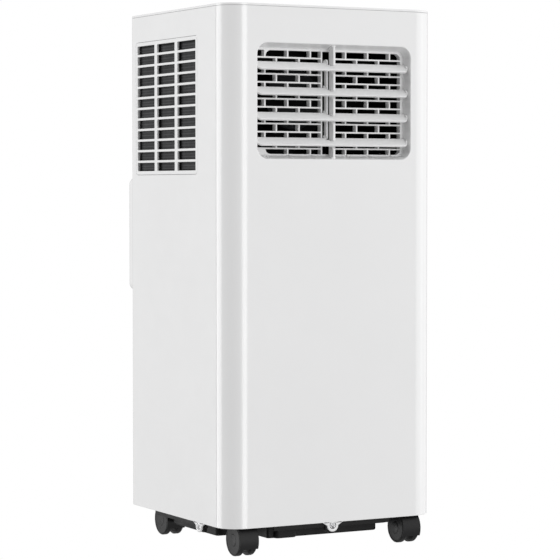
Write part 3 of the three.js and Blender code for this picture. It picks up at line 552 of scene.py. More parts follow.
def rear_skin():
    """The rear panel with its slots, the exhaust opening and the holes of its two fittings."""
    lo, hi = box_mm("rear_panel")
    build = Build()
    holes = []
    half, height, pitch = 46, 10, 19
    for rows, top in ((6, 618.0), (7, 258.0)):
        for row in range(rows):
            z = top - pitch * row
            for x in (-50, 50):
                holes.append(round_rect(x - half, x + half, z - height, z, 3.0, 5))
    holes.append(circle(0, centre_of("exhaust_collar")[0].z, 64, 96))
    for name, radius in (("drain_plug", 6.6), ("cord_gland", 7.6)):
        mid = centre_of(name)[0]
        holes.append(circle(mid.x, mid.z, radius, 32))
    build.plate(box_outline(lo, hi, "xz", 0.6, 3), holes, lo.y, hi.y, 0.2, 0.6, along_y)
    build.piece("rear_skin", WHITE, ["rear_panel"])


def exhaust_cover():
    """The shallow box on the rear with its round outlet and softly rounded edges."""
    lo, hi = box_mm("exhaust_housing")
    mid = centre_of("exhaust_collar")[0]
    build = Build()
    wall, corner, soft, bore = 3.0, 9.0, 6.0, 67.4
    shells = []
    for inward, deep in [(0, hi.y - lo.y)] + list(reversed(quarter(soft, 9))):
        shape = box_outline(lo, hi, "xz", corner - inward / 3, 10, -inward)
        shells.append([(u, hi.y - deep, v) for u, v in shape])
    outside = build.rings(shells, start=False, end=False)
    mouth = [(bore + out, hi.y - deep) for out, deep in quarter(1.2, 4)] + [(bore, hi.y - wall)]
    rings = [[(u, y, v) for u, v in circle(mid.x, mid.z, r, 96)] for r, y in mouth]
    made = build.rings(rings, start=False, end=False)
    build.cap([outside[-1], made[0]])
    inner = box_outline(lo, hi, "xz", 7, 10, -wall)
    front = build.add([(u, lo.y, v) for u, v in inner])
    build.cap([outside[0], front])
    floor = build.add([(u, hi.y - wall, v) for u, v in inner])
    build.band(front, floor)
    build.cap([floor, made[-1]])
    build.piece("exhaust_cover", WHITE, ["exhaust_housing"])


def exhaust_ring():
    """The spigot that takes the hose: a flanged tube with three bayonet lugs inside its mouth."""
    mid, lo, hi = centre_of("exhaust_collar")
    centre = (mid.x, mid.z)
    build = Build()
    profile = offset(lo.y, [(64, 0), (68.6, 0), (68.6, 2.2), (68.3, 2.5), (66.5, 2.5)])
    profile += offset(hi.y, [(66.5, -0.8), (66.2, -0.2), (65.7, 0), (64.7, 0), (64.2, -0.3)])
    profile += [(64, hi.y - 0.9), (64, lo.y)]
    build.lathe(profile, centre, along_y, 96)
    lug = arc(0, 0, 64.6, 64.6, -7, 7, 6) + arc(0, 0, 61.6, 61.6, 7, -7, 6)
    build.spread(3, centre, lug, hi.y - 7.5, hi.y - 4.5, 0.4, 0.4, first=30)
    build.piece("exhaust_ring", TRIM, ["exhaust_collar"])


def plan_outline(inward):
    left = list(reversed(front_corner(inward)))
    right = mirrored(left)
    r = REAR_CORNER - inward
    back = arc(SIDE - REAR_CORNER, REAR - REAR_CORNER, r, r, 0, 90, 20)
    return left + right + back + mirrored(back)


def top_lid():
    lo, hi = box_mm("top_cover")
    gap = 0.3
    opening = box_outline(*box_mm("control_panel"), "xy", 8, 12, gap)
    build = Build()
    edge_bottom = SHELL_TOP + gap
    build.plate(plan_outline(0), [opening], edge_bottom, hi.z, 0.15, 0.9, along_z, 4)
    build.plate(plan_outline(2.9), [plan_outline(4.9)], lo.z, edge_bottom + 0.2, 0.3, 0, along_z)
    build.piece("top_lid", WHITE, ["top_cover"])

# ---- intake grilles and filters


def intake(side):
    """A slotted grille with its rim, and behind it the filter's frame and mesh."""
    name = "left" if side < 0 else "right"
    mid, lo, hi = centre_of(name + "_intake_grille")
    holes = []
    width, height, pitch_y, pitch_z = 49.3, 10.4, 57.1, 13.3
    top = hi.z - 4.6
    for column in (-1, 0, 1):
        for row in range(12):
            y = mid.y + column * pitch_y
            z = top - row * pitch_z
            holes.append(round_rect(y - width / 2, y + width / 2, z - height, z, 0.5, 2))
    face, back = side * SIDE, side * (SIDE - WALL)
    build = Build()
    t0, t1 = sorted((face, back))
    r0, r1 = (0.4, 0.15) if side < 0 else (0.15, 0.4)
    build.plate(box_outline(lo, hi, "yz", 4.7, 8), holes, t0, t1, r0, r1, along_x)
    rim = box_outline(lo, hi, "yz", 4.2, 6, -0.6)
    inside = box_outline(lo, hi, "yz", 2.5, 6, -2.4)
    t0, t1 = sorted((side * (SIDE - WALL + 0.1), side * (SIDE - 7.5)))
    build.plate(rim, [inside], t0, t1, 0.2, 0.2, along_x)
    build.piece(name + "_grille", WHITE, [name + "_intake_grille"], body=name + "_grille")

    lo, hi = box_mm(name + "_filter")
    frame_build = Build()
    ring = box_outline(lo, hi, "yz", 2.2, 6)
    windows = []
    for column in (-1, 0, 1):
        y0 = mid.y + column * pitch_y - 24.0
        windows.append(round_rect(y0, y0 + 48.0, lo.z + 3.5, hi.z - 3.5, 1.5, 4))
    frame_build.plate(ring, windows, lo.x, hi.x, 0.3, 0.3, along_x)
    body = name + "_grille"
    frame_build.piece(
        name + "_filter_frame", BLOWER, [name + "_filter"], body=body, slot="filter_mesh"
    )
    mesh = Build()
    centre = (lo.x + hi.x) / 2
    sheet = rect(lo.y + 1, hi.y - 1, lo.z + 1, hi.z - 1)
    mesh.plate(sheet, [], centre - 0.3, centre + 0.3, 0.1, 0.1, along_x)
    mesh.piece(name + "_filter_mesh", FILTER, body=body)

# ---- air outlet


def soft_rect(x0, x1, y0, y1, radii, steps=6):
    """A rectangle with its own round at each corner: low right, high right, high left, low left."""
    out = []
    corners = ((x1, y0, -90, -1, 1), (x1, y1, 0, -1, -1), (x0, y1, 90, 1, -1), (x0, y0, 180, 1, 1))
    for r, (x, y, a, sx, sy) in zip(radii, corners):
        ry = min(r, (y1 - y0) - 0.6)
        out += arc(x + sx * r, y + sy * ry, r, ry, a, a + 90, steps if r > 1 else 2)
    return out


def vent_grille():
    """The grille behind the louvers: thirteen rows of slots laid like bricks."""
    lo, hi = box_mm("vent_grille")
    top, bottom, first_bar, pitch, bar, rib = 602.5, 479.0, 594.0, 9.845, 1.9, 2.0
    edge, strip, small, last_row = 101.7, 9.1, 0.5, 12
    holes = [round_rect(-strip + rib / 2, strip - rib / 2, bottom, top, small, 2)]
    for row in range(last_row + 1):
        above = first_bar - (row - 1) * pitch
        z1 = top if row == 0 else above - bar / 2
        z0 = bottom if row == last_row else above - pitch + bar / 2
        walls = [strip] + ([40.0, 71.0] if row % 2 else [24.5, 55.5, 86.5]) + [edge + rib / 2]
        for i in range(len(walls) - 1):
            x0, x1 = walls[i] + rib / 2, walls[i + 1] - rib / 2
            last = i == len(walls) - 2
            right, left = [small] * 4, [small] * 4
            if row == 0 and last:
                right[1] = 7.4
            if row == last_row and last:
                right[0] = 8.0
            if row == 0 and i == 2:
                left[2] = 7.4
            if row == last_row and i == 2:
                left[3] = 7.0
            holes.append(soft_rect(x0, x1, z0, z1, right))
            if not (row == last_row and last):
                holes.append(soft_rect(-x1, -x0, z0, z1, left))
    holes = [[(u + VENT_X, v) for u, v in hole] for hole in holes]
    build = Build()
    build.plate(box_outline(lo, hi, "xz", 12, 8), holes, lo.y, hi.y, 0.3, 0.15, along_y)
    build.piece("brick_grille", WHITE, ["vent_grille"])
    creases = Build()
    front, half = FRONT + 3.2, 0.3
    for x in (-86.5, -55.5, -24.5, 24.5, 55.5, 86.5):
        strip = rect(VENT_X + x - half, VENT_X + x + half, 0, 1.0)
        creases.plate(strip, [], 0, GRILLE_FRONT - 0.4 - front, 0.1, 0.1, along_y)
    slope = Matrix.Rotation(atan2(4.9, THROAT_END - FRONT - 2.2), 4, "X")
    creases.move(Matrix.Translation((0, front, VENT_BOTTOM + 0.05)) @ slope)
    creases.piece("floor_ribs", WHITE)


LOUVERS = [joint_mm(f"louver_{i}_tilt") for i in range(1, 5)]
TILT = radians(37)
CHORD, HALF_SPAN, LINK_ARM = 7.7, 105.0, 10.4
# notches in a blade's rear edge: from POST_LEFT to POST_RIGHT round the support bar, and from
# LINK_LEFT to POST_LEFT, less deep, beside the link bar; the lug ends at LUG_LEFT
POST_RIGHT, POST_LEFT, LINK_LEFT, LUG_LEFT = 2.5, -2.2, -5.8, -7.0
POST_NOTCH, LINK_NOTCH = 1.4, 3.9


def support_bar():
    """A thin, deep rib cut away round each louver's pivot, with a small foot at both ends."""
    lo, hi = box_mm("louver_support_bar")
    build = Build()
    rise, fall, sunk = 3.7, 4.0, 0.5
    above, below, run = 1.9, 8.2, 3.2
    side = [(hi.y, lo.z + rise - sunk), (hi.y, hi.z - fall + sunk), (lo.y, hi.z + sunk)]
    for pivot in LOUVERS:
        side.append((lo.y, pivot.z + above))
        side += arc(pivot.y, pivot.z, above, above, 90, -32, 10)
        side += [(pivot.y - run, pivot.z - below), (lo.y, pivot.z - below)]
    side.append((lo.y, lo.z - sunk))
    build.plate(side, [], lo.x, hi.x, 0.4, 0.4, along_x, 4)
    for y0, y1, z0, z1 in (
        (lo.y + 0.6, hi.y, lo.z, lo.z + rise), (lo.y + 0.6, hi.y, hi.z, hi.z - fall)
    ):
        s = 1 if z1 > z0 else -1
        foot = [(y0, z0 - 0.6 * s), (y1, z1 - 0.6 * s), (y1, z1 + 1.2 * s), (y0, z0 + 1.2 * s)]
        build.plate(foot, [], lo.x - 1.3, hi.x + 1.0, 0.5, 0.5, along_x)
    build.piece("support_post", TRIM, ["louver_support_bar"])


def louver_piece(i, pivot):
    """A blade with a thick rolled lip round its front and ends, notched round the post."""
    build = Build()
    rx, ry = 6.5, 9.0
    left = arc(-HALF_SPAN + rx, -CHORD + ry, rx, ry, 180, 270, 14)
    front = left + mirrored(left)
    outline = front + [(HALF_SPAN, CHORD), (POST_RIGHT, CHORD), (POST_RIGHT, POST_NOTCH)]
    outline += [(POST_LEFT, POST_NOTCH), (POST_LEFT, LINK_NOTCH), (LINK_LEFT, LINK_NOTCH)]
    outline += [(LINK_LEFT, CHORD), (-HALF_SPAN, CHORD)]
    build.plate(outline, [], -0.7, 0.65, 0.35, 0.35, along_z)
    width, lip_end = 1.75, 3.0
    lip = [(-HALF_SPAN, lip_end)] + front + [(HALF_SPAN, lip_end)]
    inner_corner = arc(-HALF_SPAN + rx, -CHORD + ry, rx - width, ry - width, 180, 270, 14)
    inner = [(-HALF_SPAN + width, lip_end)] + inner_corner + mirrored(inner_corner)
    inner += [(HALF_SPAN - width, lip_end)]
    build.plate(lip + list(reversed(inner)), [], -1.3, 1.3, 0.6, 0.6, along_z, 4)
    for side in (-1, 1):
        t = sorted((side * (HALF_SPAN - 1.6), side * HALF_SPAN))
        build.plate(circle(0.6, 0.4, 3.1, 32), [], *t, 0.4, 0.4, along_x)
        t = sorted((side * (HALF_SPAN - 1), side * (HALF_SPAN + 3.5)))
        build.plate(circle(0, 0, 1.4, 20), [], *t, 0.3, 0.3, along_x)
    lug = arc(LINK_ARM, 0, 1.8, 1.8, -90, 90, 12) + [(CHORD - 2, 1.0), (CHORD - 2, -1.0)]
    build.plate(lug, [], LUG_LEFT, LINK_LEFT, 0.25, 0.25, along_x)
    build.plate(circle(LINK_ARM, 0, 0.9, 16), [], -6.4, -2.4, 0.2, 0.2, along_x)
    build.move(Matrix.Translation(pivot) @ Matrix.Rotation(TILT, 4, "X"))
    build.piece(f"blade_{i}", TRIM, [f"louver_{i}"], body=f"louver_{i}_body")


def link_piece():
    lo, hi = box_mm("louver_link_bar")
    pin = joint_mm("link_bar_swing")
    build = Build()
    holes = [circle(pin.y, pin.z - 30 * i, 1.3, 20) for i in range(4)]
    outline = box_outline(lo, hi, "yz", 3.1, 10)
    build.plate(outline, holes, lo.x, hi.x, 0.35, 0.35, along_x, 4)
    build.piece("link_rod", TRIM, ["louver_link_bar"], body="link_bar")

# ---- controls


KEYS = [n for n in frame["nodes"] if n.startswith("button_")]


def keys():
    """The control panel with its display, and the six keys, each dished on top."""
    lo, hi = box_mm("control_panel")
    gap = 0.3
    holes = []
    for n in KEYS + ["display_window"]:
        a, b = box_mm(n)
        corner = 4.0 if n in KEYS else 3.0
        holes.append(box_outline(a, b, "xy", corner, 8, gap))
    build = Build()
    face = box_outline(lo, hi, "xy", 7.7, 12)
    build.plate(face, holes, lo.z, hi.z, 0.2, 0.5, along_z, 4)
    build.piece("control_face", TRIM, ["control_panel"])
    glass = Build()
    glass.plate(box_outline(a, b, "xy", 2.7, 8), [], a.z, b.z, 0.2, 0.5, along_z, 4)
    glass.piece("display_pane", GLASS, ["display_window"])
    for n in KEYS:
        mid, a, b = centre_of(n)
        key = Build()
        loops = []
        base = box_outline(a, b, "xy", 3.7, 8)
        top = b.z
        for d, z in (
            (0, a.z), (0, top - 1.1), (0.15, top - 0.7), (0.5, top - 0.42), (1.0, top - 0.3),
            (2.2, top - 0.34), (3.4, top - 0.42),
        ):
            loops.append([(u, v, z) for u, v in inset(ccw(base), d)])
        key.rings(loops)
        body = n.replace("button_", "") + "_key"
        key.piece(n.replace("button_", "key_"), BUTTON, [n], body=body)
        icon(n, mid.x, mid.y, top - 0.44, body)


def icon(n, x, y, z, body):
    """A plain raised symbol on a key, standing 0.3 mm proud of the dished top."""
    build = Build()

    def flat(outer, holes=()):
        build.plate(outer, list(holes), z - 0.4, z + 0.24, 0, 0.08, along_z)

    kind = n.replace("button_", "")
    if kind == "power":
        ring = arc(x, y, 2.3, 2.3, 120, 420, 36) + arc(x, y, 1.7, 1.7, 420, 120, 36)
        flat(ring)
        flat(rect(x - 0.3, x + 0.3, y + 0.4, y + 2.9))
    elif kind in ("up", "down"):
        s = 1 if kind == "up" else -1
        flat([(x - 2.2, y - 1.2 * s), (x + 2.2, y - 1.2 * s), (x, y + 1.8 * s)])
    elif kind == "mode":
        flat(circle(x, y, 1.0, 24))
        for k in range(8):
            a = radians(45 * k)
            u, v = cos(a), sin(a)
            corners = ((1.5, 0.28), (2.4, 0.28), (2.4, -0.28), (1.5, -0.28))
            flat([(x + r * u + w * v, y + r * v - w * u) for r, w in corners])
    elif kind == "speed":
        for k in range(3):
            a = 90 + 120 * k
            blade = arc(x + 1.25 * cos(radians(a)), y + 1.25 * sin(radians(a)),
                        1.05, 1.05, a - 90, a + 150, 14)
            flat(blade)
    else:
        flat(circle(x, y, 2.4, 36), [circle(x, y, 1.85, 36)])
        flat(rect(x - 0.25, x + 0.25, y - 0.2, y + 1.4))
        flat(rect(x - 0.2, x + 1.1, y - 0.25, y + 0.25))
    build.piece(n.replace("button_", "icon_"), ICON, body=body, slot="button_grey")

# ---- rear fittings


def drain():
    """A ribbed rubber plug with a knurled flange and a grip."""
    mid, lo, hi = centre_of("drain_plug")
    centre = (mid.x, mid.z)
    build = Build()
    stem = [(0, 0), (5, 0), (6, 1.2), (6.1, 2), (5.5, 2.6), (6.1, 3.4), (5.5, 4.2), (6, 5)]
    flange = [(6, 0.3), (9.6, 0.3), (10, 0.7), (10, 3.2), (9.6, 3.8), (8.8, 4), (0, 4)]
    build.lathe(offset(lo.y, stem) + offset(REAR, flange), centre, along_y, 48)
    grip = round_rect(centre[0] - 1.5, centre[0] + 1.5, centre[1] - 7, centre[1] + 7, 1.4, 5)
    build.plate(grip, [], REAR + 3.5, hi.y, 0.2, 0.7, along_y)
    build.spread(24, centre, rect(-0.35, 0.35, 9.6, 10.0), REAR + 0.9, REAR + 3.0, 0.1, 0.1)
    build.piece("drain_cap", RUBBER, ["drain_plug"], body="plug")


def gland():
    """The rubber bushing of the cord's hole."""
    mid, lo, hi = centre_of("cord_gland")
    build = Build()
    profile = offset(lo.y, [(4, 0), (6.6, 0), (7.1, 0.5)])
    profile += offset(REAR, [(7.1, 0.3), (10.6, 0.3), (11, 0.8), (11, 1.9), (10.4, 2.7), (8, 3.1)])
    profile += offset(hi.y, [(6.6, 0), (5.2, 0), (4.4, -0.3), (4, -1)]) + [(4, lo.y)]
    build.lathe(profile, (mid.x, mid.z), along_y, 48)
    build.piece("cord_inlet", RUBBER, ["cord_gland"])

# ---- base tray


def filleted(points, radii, steps=6):
    """Rounds every corner of a counter-clockwise outline by its own radius."""
    out = []
    for i, (p, r) in enumerate(zip(points, radii)):
        p = Vector(p)
        a = (Vector(points[i - 1]) - p).normalized()
        b = (Vector(points[(i + 1) % len(points)]) - p).normalized()
        half = a.angle(b) / 2
        reach = r / tan(half)
        mid = p + (a + b).normalized() * (r / sin(half))
        start, end = p + a * reach - mid, p + b * reach - mid
        sweep = start.angle_signed(end)
        first = atan2(start.y, start.x)
        for k in range(steps + 1):
            t = first - sweep * k / steps
            out.append((mid.x + r * cos(t), mid.y + r * sin(t)))
    return out


CASTERS = {
    corner: joint_mm(corner + "_swivel")
    for corner in ("front_left", "front_right", "rear_left", "rear_right")
}


def tray():
    """The base: a plate with the casters' sockets, a hanging drip pan, lips and screw bosses."""
    plate_z0, plate_z1 = 42.0, 45.0
    build = Build()
    stems = [circle(c.x, c.y, 4.8, 24) for c in CASTERS.values()]
    build.plate(plan_outline(WALL + 0.4), stems, plate_z0, plate_z1, 0.5, 0.3, along_z)
    for c in CASTERS.values():
        rim = [(9, plate_z1), (9, 60.8), (8.2, 62), (5.6, 62), (4.8, 61.2), (4.8, plate_z1)]
        build.lathe(rim + rim[:1], (c.x, c.y), along_z, 32)
    x0, x1, y0, y1, y2, y3 = 76.5, 121.0, -117.0, -70.0, 52.0, 99.0
    outline = [
        (-x0, y0), (-68, y0), (-68, -123), (-38, -123), (-38, y0), (x0, y0), (x0, y1), (x1, y1),
        (x1, y2), (x0, y2), (x0, y3), (-x0, y3), (-x0, y2), (-x1, y2), (-x1, y1), (-x0, y1),
    ]
    radii = [4, 1.5, 5.5, 5.5, 1.5, 4, 4, 5, 5, 4, 4, 4, 4, 5, 5, 4]
    pan = filleted(outline, radii)
    floor = 17.0
    shells = [
        [(u, v, floor + up) for u, v in inset(pan, d)] for up, d in reversed(quarter(2.4, 5))
    ]
    shells.append([(u, v, plate_z0 + 0.5) for u, v in pan])
    build.rings(shells, end=False)
    lips = [
        (-79, 82, FRONT + 4.5, FRONT + 7.5), (-79, 79, REAR - 7.5, REAR - 4.5),
        (-SIDE + 4.5, -SIDE + 7.5, -80, 62), (SIDE - 7.5, SIDE - 4.5, -80, 62),
    ]
    for a0, a1, b0, b1 in lips:
        build.plate(round_rect(a0, a1, b0, b1, 1.2, 4), [], 29.0, plate_z0 + 0.6, 0.8, 0, along_z)
    boss = round_rect(-9, 9, 24, plate_z0 + 0.5, 1.5, 4)
    hole = circle(0, TAB_SCREW_Z, 2.4, 20)
    build.plate(boss, [hole], FRONT + 3, FRONT + 7.5, 0.5, 0.3, along_y)
    y = centre_of("left_tab_screw")[0].y
    boss, hole = ([(u + y, v) for u, v in loop] for loop in (boss, hole))
    for side in (-1, 1):
        t0, t1 = sorted((side * (SIDE - 3), side * (SIDE - 7.5)))
        build.plate(boss, [hole], t0, t1, 0.4, 0.4, along_x)
    for x in (-52, -26, 0, 26, 52):
        rib = round_rect(x - 1, x + 1, -96, 78, 0.9, 4)
        build.plate(rib, [], floor, floor + 0.6, 0.3, 0, along_z)
    build.piece("drip_pan", BASE_BLACK, ["base_tray"])


def screw(name, place, face, inward):
    """A pan-head screw with a cross recess, its shank running into the tray's boss."""
    mid = centre_of(name)[0]
    u, v = (mid.x if place is along_y else mid.y), mid.z
    build = Build()
    cross = []
    w, r = 0.45, 2.1
    for k in range(4):
        a = radians(90 * k)
        c, s = cos(a), sin(a)
        for p, q in ((w, -w), (r, -w), (r, w)):
            cross.append((u + p * c - q * s, v + p * s + q * c))
    head = circle(u, v, 3.7, 40)
    t0, t1 = sorted((face, face + inward * 2.0))
    r0, r1 = (0.7, 0.1) if inward > 0 else (0.1, 0.7)
    build.plate(head, [cross], t0, t1, r0, r1, place, 4)
    t0, t1 = sorted((face + inward * 1.1, face + inward * 1.8))
    build.plate(circle(u, v, 2.9, 24), [], t0, t1, 0.1, 0.1, place)
    shank = [(2.0, face + inward * 1.8)]
    for k in range(9):
        shank += [(2.0, face + inward * (2.2 + 0.7 * k)), (1.6, face + inward * (2.55 + 0.7 * k))]
    shank += [(1.2, face + inward * 8.5), (0, face + inward * 8.6)]
    build.lathe([(0, face + inward * 1.6)] + shank, (u, v), place, 24)
    build.piece(name + "_head", STEEL, [name])

# ---- casters

WHEEL_R = 19.0
HOOD = 12.5  # half the hood's width


def caster(corner):
    """A stem and a hood over two wheels on one axle."""
    stem = CASTERS[corner]
    axle = joint_mm(corner + "_left_roll")
    body = corner + "_caster"

    def band(r0, r1, a0, a1, steps=28):
        start, end = 180 - a0, 180 - a1
        outer = arc(axle.y, axle.z, r1, r1, start, end, steps)
        return outer + list(reversed(arc(axle.y, axle.z, r0, r0, start, end, steps)))

    def across(half, shape, holes=(), edge=0.4, steps=3):
        build.plate(shape, holes, stem.x - half, stem.x + half, edge, edge, along_x, steps)

    build = Build()
    low, high, web = -26, 146, 3.6
    across(HOOD, band(WHEEL_R + 0.9, WHEEL_R + 2.3, low, high), edge=0.55, steps=4)
    across(HOOD - 0.9, band(WHEEL_R + 0.6, WHEEL_R + 1.2, low + 1, high - 1), edge=0.1)
    across(web, band(5.0, WHEEL_R + 1.5, low, high))
    across(3.0, circle(axle.y, axle.z, 12, 40), [circle(axle.y, axle.z, 3, 24)])
    across(web, round_rect(stem.y - 6, stem.y + 5.5, 26, 39, 1.2, 4), edge=0.5)
    build.lathe(
        [(0, 37.9), (5.4, 37.9), (6.5, 38.7), (6.5, 40.1), (5.9, 40.8), (4.2, 40.8), (4.0, 41.2),
         (4.0, 51), (3.6, 51.6), (3.6, 53), (4.0, 53.6), (4.0, 57), (3.0, 58), (0, 58)],
        (stem.x, stem.y), along_z, 40,
    )
    build.piece(f"{corner}_hood", CASTER_BLACK, [f"caster_{corner}_body"], body=body)

    pin = Build()
    profile = [(0, -10.8), (2.1, -10.8), (2.5, -10.4), (2.5, 10.4), (2.1, 10.8), (0, 10.8)]
    pin.lathe(offset(stem.x, profile), (axle.y, axle.z), along_x, 28)
    pin.piece(f"{corner}_axle_pin", STEEL, [f"caster_{corner}_axle"], body=body)

    for side, sign in (("left", -1), ("right", 1)):
        wheel = Build()
        profile = [
            (2.85, 4.3), (4.6, 4.3), (5.0, 4.9), (14.6, 4.9), (15.0, 4.3), (17.6, 4.3), (18.4, 4.6),
            (18.9, 5.3), (19.0, 6.0), (19.0, 7.6), (18.8, 7.7), (18.8, 8.0), (19.0, 8.1),
            (19.0, 10.1), (18.8, 10.9), (18.2, 11.6), (17.3, 11.95), (16.6, 11.8), (16.3, 11.4),
            (15.9, 11.25), (13.0, 11.35), (8.2, 11.75), (7.7, 11.55), (7.2, 11.8), (6.6, 12.05),
            (3.0, 12.3), (0, 12.3), (0, 11.1), (2.85, 11.1), (2.85, 4.3),
        ]
        wheel.lathe([(r, stem.x + sign * t) for r, t in profile], (axle.y, axle.z), along_x, 72)
        wheel.piece(
            f"{corner}_{side}_roller", CASTER_BLACK, [f"caster_{corner}_wheel_{side}"],
            body=f"{corner}_wheel_{side}", angle=30,
        )

# ---- inside


def tube(build, points, radius, sides=20):
    """A round tube along points, with its ends closed."""
    points = [Vector(p) for p in points]
    loops = []
    normal = None
    for i, p in enumerate(points):
        ahead = points[min(i + 1, len(points) - 1)] - points[max(i - 1, 0)]
        ahead.normalize()
        if normal is None:
            normal = ahead.orthogonal().normalized()
        normal = (normal - ahead * normal.dot(ahead)).normalized()
        other = ahead.cross(normal)
        ring = []
        for k in range(sides):
            a = 2 * pi * k / sides
            ring.append(p + normal * (radius * cos(a)) + other * (radius * sin(a)))
        loops.append(ring)
    build.rings(loops)


def smooth_route(points, steps=10):
    """A Catmull-Rom curve through the points."""
    points = [Vector(p) for p in points]
    full = [2 * points[0] - points[1]] + points + [2 * points[-1] - points[-2]]
    out = []
    for i in range(1, len(full) - 2):
        a, b, c, d = full[i - 1:i + 3]
        for k in range(steps):
            t = k / steps
            out.append(
                0.5 * (2 * b + (c - a) * t + (2 * a - 5 * b + 4 * c - d) * t * t
                       + (3 * b - a - 3 * c + d) * t ** 3)
            )
    return out + [points[-1]]


def finned_coil(name, piece):
    """A stack of thin pressed fins on copper tubes, between two end plates, with hairpin bends."""
    mid, lo, hi = centre_of(name)
    fins = Build()
    sheet = rect(lo.y + 1, hi.y - 1, lo.z + 0.5, hi.z - 0.5)
    half, thick = 103, 0.12
    for x in range(-half, half + 1, 2):
        fins.plate(sheet, [], x - thick, x + thick, 0, 0, along_x)
    for a, b in ((lo.x + 5.5, lo.x + 7.0), (hi.x - 7.0, hi.x - 5.5)):
        fins.plate(box_outline(lo, hi, "yz", 1.0, 3), [], a, b, 0.2, 0.2, along_x)
    fins.piece(piece + "_fins", FINS, [name])
    tubes = Build()
    y, row, rise, radius, sides = mid.y, 50, 10, 3.0, 14
    for i in range(int((hi.z - lo.z) // row)):
        z = lo.z + row / 2 + row * i
        for s in (-1, 1):
            bend = [(s * 100, y, z + rise)]
            bend += [(s * (106 + 1.9 * sin(a)), y, z + rise * cos(a))
                     for a in [pi * k / 12 for k in range(13)]]
            bend += [(s * 100, y, z - rise)]
            tube(tubes, bend, radius, sides)
        for dz in (-rise, rise):
            tube(tubes, [(-half, y, z + dz), (half, y, z + dz)], radius, sides)
    tubes.piece(piece + "_tubes", COPPER)


def blower(name, piece):
    """A centrifugal wheel: hub cone, forward-curved blades, a rim ring and a shaft."""
    lo, hi = box_mm(name + "_wheel")
    spin = joint_mm(name + "_spin")
    radius = (hi.x - lo.x) / 2
    front, rear = lo.y + 26, hi.y
    centre = (spin.x, spin.z)
    build = Build()
    hub = [(0, 14), (8, 14), (12, 12.5), (12, 3.5), (14, 2.2), (radius - 1, 2), (radius, 1.6)]
    hub += [(radius, 0.4), (radius - 0.6, 0), (4, 0)]
    shaft = [(4, 0.6), (3.4, 0), (0, 0)]
    build.lathe(offset(front, hub) + offset(lo.y, shaft), centre, along_y, 72)
    rim = [(0, 0.4), (0, 2.6), (0.4, 3), (11.6, 3), (12, 2.6), (12, 0.4), (11.6, 0), (0.4, 0)]
    rim.append(rim[0])
    build.lathe([(radius - r, rear - y) for r, y in rim], centre, along_y, 72)
    inner, outer = radius - 11.2, radius - 0.8
    curve = [(inner, 0.0), ((inner + outer) / 2, 2.4), (outer, 3.2)]
    line = []
    for j in range(7):
        t = j / 6
        line.append(
            [(1 - t) ** 2 * a + 2 * t * (1 - t) * b + t * t * c for a, b, c in zip(*curve)]
        )
    thick = 0.45
    blade = [(a, b + thick) for a, b in line] + [(a, b - thick) for a, b in reversed(line)]
    build.spread(36, centre, blade, front + 1, rear - 1, 0, 0)
    build.piece(piece, BLOWER, [name + "_wheel"], body=name)


def motor(name, piece):
    """A motor's can, stepped at the rear, with ribs round the step."""
    mid, lo, hi = centre_of(name)
    centre = (mid.x, mid.z)
    build = Build()
    step = hi.y - 4.0
    profile = offset(lo.y, [(4.8, 0), (34, 0), (37.2, 0.9), (38, 2.8)])
    profile += offset(step, [(38, -6), (37.6, -5.6), (37.6, -4.4), (38, -4), (38, -1.8)])
    profile += offset(step, [(36.6, -0.4), (34, 0), (24.6, 0), (24, 0.4)])
    profile += offset(hi.y, [(24, -1.2), (22.6, 0), (4.8, 0)]) + [(4.8, lo.y)]
    build.lathe(profile, centre, along_y, 72)
    rib = round_rect(-1.6, 1.6, 27, 34, 1.5, 4)
    build.spread(12, centre, rib, step - 0.2, step + 0.7, 0.1, 0.3)
    build.piece(piece, MOTOR, [name])


def compressor():
    """The compressor's welded can with a domed top, and its discharge pipe."""
    mid, lo, hi = centre_of("compressor")
    r = (hi.x - lo.x) / 2
    build = Build()
    seam = r - 0.6
    profile = offset(lo.z, [(41, 0), (r, 0), (r, 24), (seam, 24.5), (seam, 26), (r, 26.5)])
    profile += offset(hi.z, [(r, -44), (seam, -43.5), (seam, -42), (r, -41.5)])
    profile += arc(r - 24, hi.z - 26, 24, 23, 0, 90, 10)
    profile += offset(hi.z, [(20, -0.6), (0, 0), (0, -24), (41, -24)]) + [(41, lo.z)]
    build.lathe(profile, (mid.x, mid.y), along_z, 80)
    build.piece("compressor_can", CAN, ["compressor"])

    pipe = Build()
    x, y, top = mid.x, mid.y, hi.z
    route = [
        (x + 25, y, top + 1.5), (x + 25, y, top + 40), (x + 45, y + 20, top + 70),
        (x + 90, y + 70, top + 74), (x + 106, y + 100, top + 66), (x + 106, y + 112.5, top + 66),
    ]
    tube(pipe, smooth_route(route), 3.9, 20)
    pipe.piece("hot_gas_pipe", COPPER, ["discharge_pipe"])


def control_circuit():
    """The board under the keys with its mounting holes, its switches and the display's carrier."""
    lo, hi = box_mm("control_board")
    build = Build()
    build.plate(box_outline(lo, hi, "xy", 2, 5),
                [circle(x, y, 1.6, 16) for x in (lo.x + 5, hi.x - 5) for y in (lo.y + 5, hi.y - 5)],
                lo.z, lo.z + 1.6, 0.1, 0.1, along_z)
    for n in KEYS:
        mid = centre_of(n)[0]
        build.plate(round_rect(mid.x - 3, mid.x + 3, mid.y - 3, mid.y + 3, 0.5, 3), [],
                    lo.z + 1.5, lo.z + 5, 0, 0.2, along_z)
        stem = [(0, 8.6), (1.6, 8.6), (1.75, 8.4), (1.75, 4.9), (0, 4.9)]
        build.lathe(offset(lo.z, stem), (mid.x, mid.y), along_z, 24)
    mid = centre_of("display_window")[0]
    build.plate(round_rect(mid.x - 17, mid.x + 17, mid.y - 11, mid.y + 11, 1, 4), [],
                lo.z + 1.5, hi.z, 0, 0.4, along_z)
    build.piece("circuit_board", BOARD, ["control_board"])

# ---- the pieces, in order

